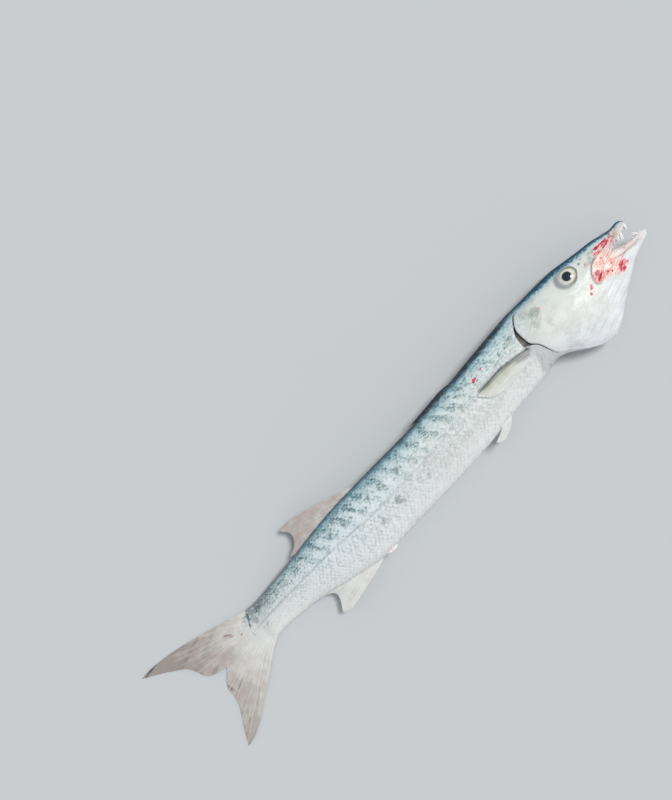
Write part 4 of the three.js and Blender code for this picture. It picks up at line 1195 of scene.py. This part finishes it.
def scale_plates(x0, turn0, size, tilt, lift, sizes):
    """The skin under each scale, and its upper and lower face, each as a square grid of points.

    A scale is a rounded plate that follows the skin from a root sunk in it to a free rim that stands up. It
    bulges a little across and thins out towards its edge.
    """
    s, t = PLATE_ALONG, PLATE_ACROSS
    width = np.where(s > 0, (1 - (0.93 * s) ** 2) ** 0.4, (1 - (0.8 * s) ** 2) ** 0.5)
    length = s * (1 - 0.16 * t**2 * (s > 0))
    pitch = scale_pitch(x0) * size
    x = x0 - length * pitch * sizes.scale_overlap / 2
    turn = turn0 + (t * width * 0.55 + tilt * length) * 2 * np.pi / sizes.scale_rows
    skin, normal = section_point(x, turn), section_normal(x, turn)
    fade = (0.3 + 0.7 * smooth(-325, -295, x0)) * (1 - 0.55 * smooth(250, 300, x0))
    rise = sizes.scale_lift / MM * fade * lift
    height = -COAT - 0.12 + rise * (s + 1) / 2 + 0.1 * (1 - t**2) * fade
    thin = 0.16 * (1 - 0.6 * np.maximum(np.abs(t), np.abs(s)))
    faces = []
    for level, lowest in ((height, 0.12), (height - thin, 0.03)):
        points = skin + normal * (level + 0 * x)[..., None]
        points[..., 2] = np.maximum(points[..., 2], lowest)
        faces.append(points)
    return skin, *faces


class BARRACUDA_OT_scales(bpy.types.Operator):
    """Overlapping scales over trunk, stem and nape, each a thin closed plate rooted in the skin"""

    bl_idname = "barracuda.scales"
    bl_label = "Scales"

    def execute(self, context):
        sizes = context.scene.barracuda_sizes
        draw = np.random.default_rng(SCALE_SEED)
        x0, turn0 = scale_places(sizes.scale_rows, draw)
        tone = draw.random(x0.shape)
        size = draw.normal(1, 0.035, x0.shape)
        tilt = draw.normal(0, 0.05, x0.shape)
        dark = draw.uniform(0.3, 1.3, x0.shape)
        lift = draw.uniform(0.6, 1.5, x0.shape)
        skin, top, under = scale_plates(x0, turn0, size, tilt, lift, sizes)
        marks = markings(skin)
        middle = section_point(x0, turn0)
        bar_of_scale = bars(x0, middle[..., 1]) * (np.cos(turn0) > -0.3)
        # Each scale has a dark dot on the upper flank and, on the lower, a dark rim that draws a net:
        # partly pigment, partly painted shade along the rim
        s, t = PLATE_ALONG, PLATE_ACROSS
        low = smooth(0.36, 0.56, down_share(middle))
        dot_strength = (0.25 + 0.75 * smooth(50, -70, x0)) * dark * (1 - low)
        net_strength = low * (0.25 + 0.75 * smooth(60, -40, x0)) * (1 - smooth(-200, -260, x0))
        dot = np.tile(np.exp(-((s - 0.1) / 0.4) ** 2 - (t / 0.55) ** 2).ravel(), 2)
        net = np.tile((np.maximum(np.abs(t), s) > 0.9).ravel(), 2)
        # In the UV map each scale is a small patch round the place of its root
        patch = PLATE_PATCH * np.stack(np.broadcast_arrays(-s, t), -1).reshape(-1, 2)
        patch = np.tile(patch, (2, 1))
        shell, rim = closed_sheet(PLATE, PLATE, turned=True)
        sides = {"right": np.cos(turn0).ravel() >= 0, "left": np.cos(turn0).ravel() < 0}
        above = np.sin(turn0).ravel() >= 0.2
        for side, part, slot in (("right", "back", "flank_skin"), ("right", "belly", "belly_skin"),
                                 ("left", "back", "flank_skin"), ("left", "belly", "belly_skin")):
            chosen = sides[side] & (above if part == "back" else ~above)
            count = np.count_nonzero(chosen)
            plates = np.concatenate([face[chosen].reshape(count, -1, 3) for face in (top, under)], 1)
            faces = (shell[None] + PLATE_POINTS * np.arange(count)[:, None, None]).reshape(-1, 4)
            around = (turn0[chosen] / (2 * np.pi)) % 1 * 0.98 + 0.01
            root = np.concatenate([(x0[chosen] + 330) / 640, around], -1)
            values = {key: np.tile(value[chosen].reshape(count, -1), 2) for key, value in marks.items()}
            values["bars"] = 0.5 * values["bars"] + 0.5 * bar_of_scale[chosen].reshape(count, 1)
            values["tone"] = np.repeat(tone[chosen], PLATE_POINTS)
            values["dot"] = np.outer(dot_strength[chosen], dot) + np.outer(net_strength[chosen], net)
            for key in ("inner", "smudge", "grain"):
                values[key] = np.zeros((count, PLATE_POINTS))
            piece = make_piece(f"scales_{side}_{part}", plates, faces, bpy.data.materials[SKIN_FINISH],
                               values, root + patch)
            # The rims stay sharp, so a scale shades as a flat plate and not as a pillow
            keep_sharp(piece, lambda ends: (np.isin(ends % PLATE**2, rim).all(1)
                                            & (ends[:, 0] // PLATE**2 == ends[:, 1] // PLATE**2)))
        return {"FINISHED"}


FIN_ROWS = 56


def fin_height(name, x, y, v, half):
    """Height of a fin's middle surface, as the solid of the same name has it.

    Tail and unpaired fins follow the fish's middle plane, and the paired ones its flank or the floor.
    """
    if name.startswith("tail"):
        return np.maximum(tail_height(x), half)
    if name == "dorsal_fin_first":
        return middle_height(x)
    if name in ("dorsal_fin_second", "anal_fin"):
        return middle_height(x) - 4 * v * v
    if name == "pelvic_fin_right":
        return middle_height(x) + 9 - 3 * v
    if name == "pelvic_fin_left":
        return middle_height(x) - 9 - 14 * v
    if name == "pectoral_fin_right":
        rise = np.where(v < 0.05, -3 + 84 * v, 1.2 + 2.5 * v * (1 - 0.75 * smooth(0.6, 1, v)))
        rise = rise * (0.4 + 0.6 * smooth(-2, 10, y))
        return flank_height(x, y) + rise + half
    return np.maximum(half, np.where(v < 0.05, 3, -0.6 - half) + flank_height(x, y, -1))


def fin_sheet(name, ray_columns, draw):
    """Both faces of a fin and the values that its finish reads.

    Points are blended between the four edges (a Coons patch). Rays are ridges along it that fork twice on
    their way out, the margin is nicked between them, and the whole sheet waves a little.
    """
    fin = FINS[name]
    rays = fin["rays"]
    u = np.linspace(0, 1, rays * ray_columns + 1)[:, None]
    v = np.linspace(0, 1, FIN_ROWS + 1)[None, :]
    wear = draw.random(rays * 4 + 1)
    nick = np.interp(u, np.linspace(0, 1, rays * 4 + 1), wear) ** 3
    between = 0.5 - 0.5 * np.cos(2 * np.pi * rays * 4 * u)
    worn = fin["ragged"] * (0.75 * nick + 0.35 * between) * smooth(0, 0.06, u) * smooth(0, 0.06, 1 - u)
    v_cut = v * (1 - worn)
    base, margin, front, rear = fin_edges(name)
    corner = [np.array(point, float) for point in (base[0], base[-1], margin[0], margin[-1])]
    base, margin = through_points(base, u), through_points(margin, u)
    front, rear = through_points(front, v_cut), through_points(rear, v_cut)
    w, q = v_cut[..., None], u[..., None]
    flat = (front * (1 - q) + rear * q + base * (1 - w) + margin * w
            - corner[0] * (1 - q) * (1 - w) - corner[1] * q * (1 - w)
            - corner[2] * (1 - q) * w - corner[3] * q * w)
    forks = [np.abs(np.cos(np.pi * rays * k * u)) for k in (1, 2, 4)]
    once, twice = smooth(0.3, 0.5, v), smooth(0.62, 0.8, v)
    ridge = (forks[0] ** 6 * (1 - once) + forks[1] ** 5 * once * (1 - twice) + forks[2] ** 4 * twice)
    ridge = ridge * np.interp(u, np.linspace(0, 1, rays * 2 + 1), 0.35 + 0.65 * draw.random(rays * 2 + 1))
    thick = fin["root"] + (fin["edge"] - fin["root"]) * v
    # Front and rear edges thin out, apart from those where the two lobes of the tail meet
    front_thin = 1 if name == "tail_fin_lower_lobe" else smooth(0, 0.12, u)
    rear_thin = 1 if name == "tail_fin_upper_lobe" else smooth(0, 0.12, 1 - u)
    half = thick * (0.25 + 0.2 * ridge * smooth(0, 0.12, v)) * (0.45 + 0.55 * front_thin * rear_thin)
    x, y = flat[..., 0], flat[..., 1]
    swell = fin["wave"] * v**2 * (0.5 + 0.5 * np.sin(0.12 * y - 0.03 * x + 1))
    z = fin_height(name, x, y, v + 0 * u, 0.5 * thick + 0 * u) + swell
    upper = np.stack([x, y, z + half], -1)
    lower = np.stack([x, y, np.maximum(z - half, FLOOR_GAP)], -1)
    return upper, lower, {"out": v + 0 * u, "fan": u + 0 * v, "ray": ridge * (1 - 0.35 * v)}


def fin_marks(name, x, y, out, fan):
    """Tint, pink, dusk and green of a fin, from places and from how far out along its fan they are."""
    none = np.zeros(len(x))
    if name.startswith("tail"):
        tint = 0.95 * out - 0.06 + 0.4 * smooth(-10, 40, y) * out + blots(x, y, TAIL_GREY)
        pink = np.maximum(blots(x, y, TAIL_PINK), 0.35 * out)
        return {"tint": tint, "pink": pink, "dusk": blots(x, y, TAIL_DUSK), "green": none}
    start, rise, pink = FIN_TINTS[name]
    marks = {"tint": start + rise * out, "pink": pink * (0.6 + 0.4 * out), "dusk": none, "green": none}
    if name == "dorsal_fin_first":
        marks["dusk"] = np.full(len(x), 3.0)
    if name.startswith("pectoral"):
        # Painted shadow: the thin dark line along the front edge, where the fin stands off the flank;
        # behind it a broader darker band
        edge = 2.2 - 2.2 * smooth(0.0, 0.09, fan)
        band = 0.95 - 0.95 * smooth(0.12, 0.55, fan)
        marks["dusk"] = np.maximum(np.maximum(edge, band) * smooth(-0.05, 0.3, out),
                                   blots(out, fan, PECTORAL_DUSK))
        marks["green"] = blots(out, fan, PECTORAL_GREEN)
    return marks


class BARRACUDA_OT_fins(bpy.types.Operator):
    """All fins, with forked rays that stand up from the membrane and worn margins"""

    bl_idname = "barracuda.fins"
    bl_label = "Fins"

    def execute(self, context):
        draw = np.random.default_rng(FIN_SEED)
        material = fin_material()
        for name in FINS:
            upper, lower, marks = fin_sheet(name, context.scene.barracuda_sizes.ray_columns, draw)
            faces, rim = closed_sheet(*upper.shape[:2])
            points = np.concatenate([upper.reshape(-1, 3), lower.reshape(-1, 3)])
            x, y = points[:, 0], points[:, 1]
            marks = {key: np.tile(value.ravel(), 2) for key, value in marks.items()}
            if name.startswith("tail"):
                # Both lobes share one fan, so that no seam shows between them
                marks["out"] = np.hypot(x - TAIL_FAN[0], y - TAIL_FAN[1]) / TAIL_REACH
                marks["fan"] = np.arctan2(y - TAIL_FAN[1], TAIL_FAN[0] - x) * 1.4
            marks.update(fin_marks(name, x, y, marks["out"], marks["fan"]))
            piece = make_piece(name + "_rays", points, faces, material, marks)
            keep_sharp(piece, lambda ends: np.isin(ends, [rim, rim + upper[..., 0].size]).all(1))
            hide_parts(name)
        return {"FINISHED"}


class BARRACUDA_OT_eyes(bpy.types.Operator):
    """Both eyes, each a flattened ball with a pupil and a silvery iris under a wet surface"""

    bl_idname = "barracuda.eyes"
    bl_label = "Eyes"

    def execute(self, context):
        material = eye_material()
        polar = np.linspace(0, np.pi, EYE_RINGS + 1)[:, None]
        around = np.linspace(0, 2 * np.pi, EYE_SPOKES + 1)[None, :]
        x = EYE["long"] * np.sin(polar) * np.cos(around)
        y = EYE["short"] * np.sin(polar) * np.sin(around)
        # The cornea stands up a little over the pupil
        cornea = 0.7 * np.exp(-((np.hypot(x, y) / 8) ** 4)) * (np.cos(polar) > 0)
        reach = np.hypot(x / EYE["long"], y / EYE["short"])
        pupil = np.hypot(x, y) / PUPIL * PUPIL_SHARE
        blend = smooth(PUPIL_SHARE, 0.6, pupil)
        reach = np.where(np.cos(polar) > -0.1, pupil * (1 - blend) + reach * blend, 1)
        for name, side in (("eye_right", 1), ("eye_left", -1)):
            z = side * EYE["deep"] * np.cos(polar) * np.ones_like(around)
            points = np.stack([x, y, z + side * cornea], -1)
            # The ball leans as the skin does between 6 mm above and 6 mm below its middle
            skin = [float(flank_height(EYE["x"], EYE["y"] + dy, side)) for dy in (-6, 0, 6)]
            lean = -np.arctan2(skin[0] - skin[2], 12)
            turn = Matrix.Rotation(lean, 3, "X") @ Matrix.Rotation(np.radians(EYE["tilt"]), 3, "Z")
            centre = (EYE["x"], EYE["y"], skin[1] - side * (EYE["deep"] - EYE["bulge"]))
            eye = make_piece(name + "_ball", points @ np.array(turn).T + centre,
                             grid_faces(*x.shape, turned=side < 0), material, {"reach": reach},
                             weld=0.0005)
            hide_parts(name)
        return {"FINISHED"}


# Fangs as the photograph shows them: (x, length, lean back, width). Small teeth fill the rims between them
UPPER_FANGS = [
    (462, 7.6, 0.4, 5), (456, 3, 0.6, 2.6), (449.5, 10.4, 2.4, 5.6), (444.4, 6.4, 2.6, 4),
    (437, 2.6, 1, 2.4), (429.5, 4.8, 1.4, 3.2)]
LOWER_FANGS = [
    (471, 3.4, 1, 2.8), (465, 8.6, 4.6, 5.4), (458, 2.6, 1, 2.4), (449, 2.4, 1, 2.2),
    (438, 2.4, 1, 2.2)]
SMALL_TEETH = {"start": 424, "upper_end": 462, "lower_end": 474, "spacing": 2.1}
TOOTH_RINGS = 9
TOOTH_SIDES = 12


def tooth_row(fangs, rim, half_width, down, draw):
    """Points of every tooth of one jaw, each a bent, flattened cone of rings from root to tip."""
    end = SMALL_TEETH["upper_end"] if down < 0 else SMALL_TEETH["lower_end"]
    places = np.arange(SMALL_TEETH["start"], end, SMALL_TEETH["spacing"])
    small = [(x, draw.uniform(0.6, 1.2), 0.4, 1.3) for x in places
             if min(abs(x - fang[0]) for fang in fangs) > 1.6]
    entries = np.array([(*tooth, side) for tooth in [*fangs, *small] for side in (1, -1)], float)
    x, length, lean, width, side = entries.T
    part = np.minimum(np.abs(rim(x) - widest_line(x)) / 24, 0.9)
    z = middle_height(x) + side * (half_width(x) * np.sqrt(1 - part**2) - 1.7)
    root = np.stack([x + lean * 0.3, rim(x) - down * 2.2, z], -1)[:, None, None, :]
    tip = np.stack([x - lean, rim(x) + down * length, z - side * 0.4], -1)[:, None, None, :]
    # The radius shrinks a little more slowly than in a straight cone
    t = np.linspace(0, 1, TOOTH_RINGS)[None, :, None, None]
    angle = np.linspace(0, 2 * np.pi, TOOTH_SIDES + 1)[None, None, :, None]
    axis = tip - root
    bow = np.array([0.05, 0, 0]) * np.linalg.norm(axis, axis=-1, keepdims=True) * np.sin(np.pi * t)
    radius = width[:, None, None, None] * 0.56 * (1 - t) ** 0.8
    ring = np.concatenate([np.cos(angle), 0 * angle, 0.6 * np.sin(angle)], -1)
    points = root + axis * t + bow + ring * radius
    # A first ring with no width closes the root
    return np.concatenate([np.broadcast_to(root, points[:, :1].shape), points], 1)


class BARRACUDA_OT_teeth(bpy.types.Operator):
    """Fangs and small blade teeth along both jaws, each a bent, flattened cone"""

    bl_idname = "barracuda.teeth"
    bl_label = "Teeth"

    def execute(self, context):
        draw = np.random.default_rng(TEETH_SEED)
        material = tooth_material()
        for name, fangs, rim, half_width, down in (
                ("teeth_upper", UPPER_FANGS, upper_rim, upper_half_width, -1),
                ("teeth_lower", LOWER_FANGS, lower_rim, lower_half_width, 1)):
            points = tooth_row(fangs, rim, half_width, down, draw)
            count, rings, around = points.shape[:3]
            faces = grid_faces(rings, around, turned=down > 0)
            faces = (faces[None] + rings * around * np.arange(count)[:, None, None]).reshape(-1, 4)
            out = np.repeat(np.concatenate([[0], np.linspace(0, 1, TOOTH_RINGS)]), around)
            make_piece(name, points, faces, material, {"out": np.tile(out, count)}, weld=0.0005)
        return {"FINISHED"}


FLOOR_REACH = 6.0  # metres
SKY = {"colour": "#eef1f4", "strength": 0.52}
KEY_LIGHT = {"angle": 16, "energy": 1.95, "distance": 3, "right": 0.25, "up": 0.3, "back": 0.95}
LENS = 50
SENSOR = 36


def turn_towards(direction):
    """A turn whose third axis is the direction: a lamp or camera turned so looks back along it."""
    side = np.cross((0, 1, 0), direction)
    side = side / np.linalg.norm(side)
    return Matrix(np.stack([side, np.cross(direction, side), direction], 1).tolist())


def stage_object(name, data, location, turn):
    """Links an object of the stage at its place, turned by a matrix."""
    made = bpy.data.objects.new(name, data)
    bpy.context.scene.collection.objects.link(made)
    made.location = location
    made.rotation_mode = "QUATERNION"
    made.rotation_quaternion = turn.to_quaternion()
    return made


class BARRACUDA_OT_stage(bpy.types.Operator):
    """A pale floor, soft studio light and the camera at the photograph's angle"""

    bl_idname = "barracuda.stage"
    bl_label = "Stage"

    def execute(self, context):
        scene = context.scene
        mesh = bpy.data.meshes.new("floor")
        corners = [(x * FLOOR_REACH, y * FLOOR_REACH, 0) for x, y in ((-1, -1), (1, -1), (1, 1), (-1, 1))]
        mesh.from_pydata(corners, [], [(0, 1, 2, 3)])
        mesh.materials.append(floor_material())
        floor = stage_object("floor", mesh, (0, 0, 0), Matrix.Identity(3))
        world = bpy.data.worlds.new("Studio")
        scene.world = world
        world.use_nodes = True
        sky = world.node_tree.nodes["Background"]
        sky.inputs["Color"].default_value = linear(SKY["colour"])
        sky.inputs["Strength"].default_value = SKY["strength"]
        right, up, back = (np.array(v) for v in (CAMERA_RIGHT, CAMERA_UP, CAMERA_BACK))
        # One large far lamp from above the picture, even over the whole fish
        direction = right * KEY_LIGHT["right"] + up * KEY_LIGHT["up"] + back * KEY_LIGHT["back"]
        direction = direction / np.linalg.norm(direction)
        light = bpy.data.lights.new("key", "SUN")
        light.angle = np.radians(KEY_LIGHT["angle"])
        light.energy = KEY_LIGHT["energy"]
        stage_object("key", light, direction * KEY_LIGHT["distance"], turn_towards(direction))
        camera = bpy.data.cameras.new("camera")
        camera.lens = LENS
        camera.sensor_width = SENSOR
        camera.clip_end = 50
        scene.camera = stage_object("camera", camera, place(np.array(AIM) + back * CAMERA_DISTANCE),
                                    Matrix(np.stack([right, up, back], 1).tolist()))
        scene.view_settings.view_transform = "Standard"
        return {"FINISHED"}


class BarracudaSizes(bpy.types.PropertyGroup):
    """Sizes that a user would change"""

    scale_rows: IntProperty(
        name="Scale rows", description="Rows of scales round the body", default=29, min=8)
    scale_overlap: FloatProperty(
        name="Scale overlap", description="Length of a scale in spacings", default=1.75)
    scale_lift: FloatProperty(
        name="Scale lift", description="How far a scale's free rim stands over its root", default=0.0006,
        unit="LENGTH")
    ray_columns: IntProperty(
        name="Ray columns", description="Columns of the mesh for each fin ray", default=20)


def paint_property(name, description, colour):
    """A colour that a user would change, from an sRGB hex value."""
    return FloatVectorProperty(name=name, description=description, default=linear(colour), size=4,
                               subtype="COLOR", min=0, max=1)


class BarracudaColours(bpy.types.PropertyGroup):
    """Colours that a user would change"""

    pale: paint_property("Pale skin", "Bare pale skin at the tail's root and on the breast", "#dadbd8")
    lateral: paint_property("Lateral line", "Grey-green edge of the lateral line", "#76898d")
    cheek: paint_property("Cheek clouds", "Faint grey-green clouds of the cheek", "#bfc6be")
    smudge: paint_property("Cheek smudge", "Dark broken smudge of the gill cover", "#8b978f")
    shade: paint_property("Head shade", "Grey shading round the eye and behind the cover", "#9a9c9f")
    # This black also paints the shade in the hollows and grooves and under the pectoral fin's edge
    spots: paint_property("Spots", "Black spots of the flank", "#444b4c")
    fin_pink: paint_property("Fin tint", "Pinkish clouds of the fins", "#b89f9f")
    fin_green: paint_property("Pectoral tint", "Faint green of the pectoral fins", "#bbbfa9")
    # This dark also paints the shadow along the pectoral fins' front edges
    fin_dusk_and_shadow: paint_property("Fin shade", "Dark fin edges and the whole first dorsal fin", "#293643")
    fin_ray: paint_property("Fin rays", "Pale bone of the rays", "#e2e1dd")
    iris: paint_property("Iris tint", "Warm flecks of the iris", "#b3ad7c")
    floor: paint_property("Floor", "Pale floor", "#c9ccce")


class BARRACUDA_PT_panel(bpy.types.Panel):
    """Lists the sizes, the colours and the steps of the model"""

    bl_idname = "BARRACUDA_PT_panel"
    bl_label = "Barracuda"
    bl_space_type = "VIEW_3D"
    bl_region_type = "UI"
    bl_category = "Barracuda"

    def draw(self, context):
        for group in (context.scene.barracuda_sizes, context.scene.barracuda_colours):
            for key in group.__annotations__:
                self.layout.prop(group, key)
        for step in STEPS:
            self.layout.operator(f"barracuda.{step}")


STEPS = ("stage", "skin", "vent", "scales", "fins", "eyes", "teeth")
CLASSES = (BarracudaSizes, BarracudaColours, BARRACUDA_OT_stage, BARRACUDA_OT_skin, BARRACUDA_OT_vent,
           BARRACUDA_OT_scales, BARRACUDA_OT_fins, BARRACUDA_OT_eyes, BARRACUDA_OT_teeth,
           BARRACUDA_PT_panel)


def register():
    for cls in CLASSES:
        bpy.utils.register_class(cls)
    bpy.types.Scene.barracuda_sizes = PointerProperty(type=BarracudaSizes)
    bpy.types.Scene.barracuda_colours = PointerProperty(type=BarracudaColours)


def unregister():
    del bpy.types.Scene.barracuda_colours
    del bpy.types.Scene.barracuda_sizes
    for cls in reversed(CLASSES):
        bpy.utils.unregister_class(cls)


def main():
    register()
    for step in STEPS:
        getattr(bpy.ops.barracuda, step)()


if __name__ == "__main__":
    main()
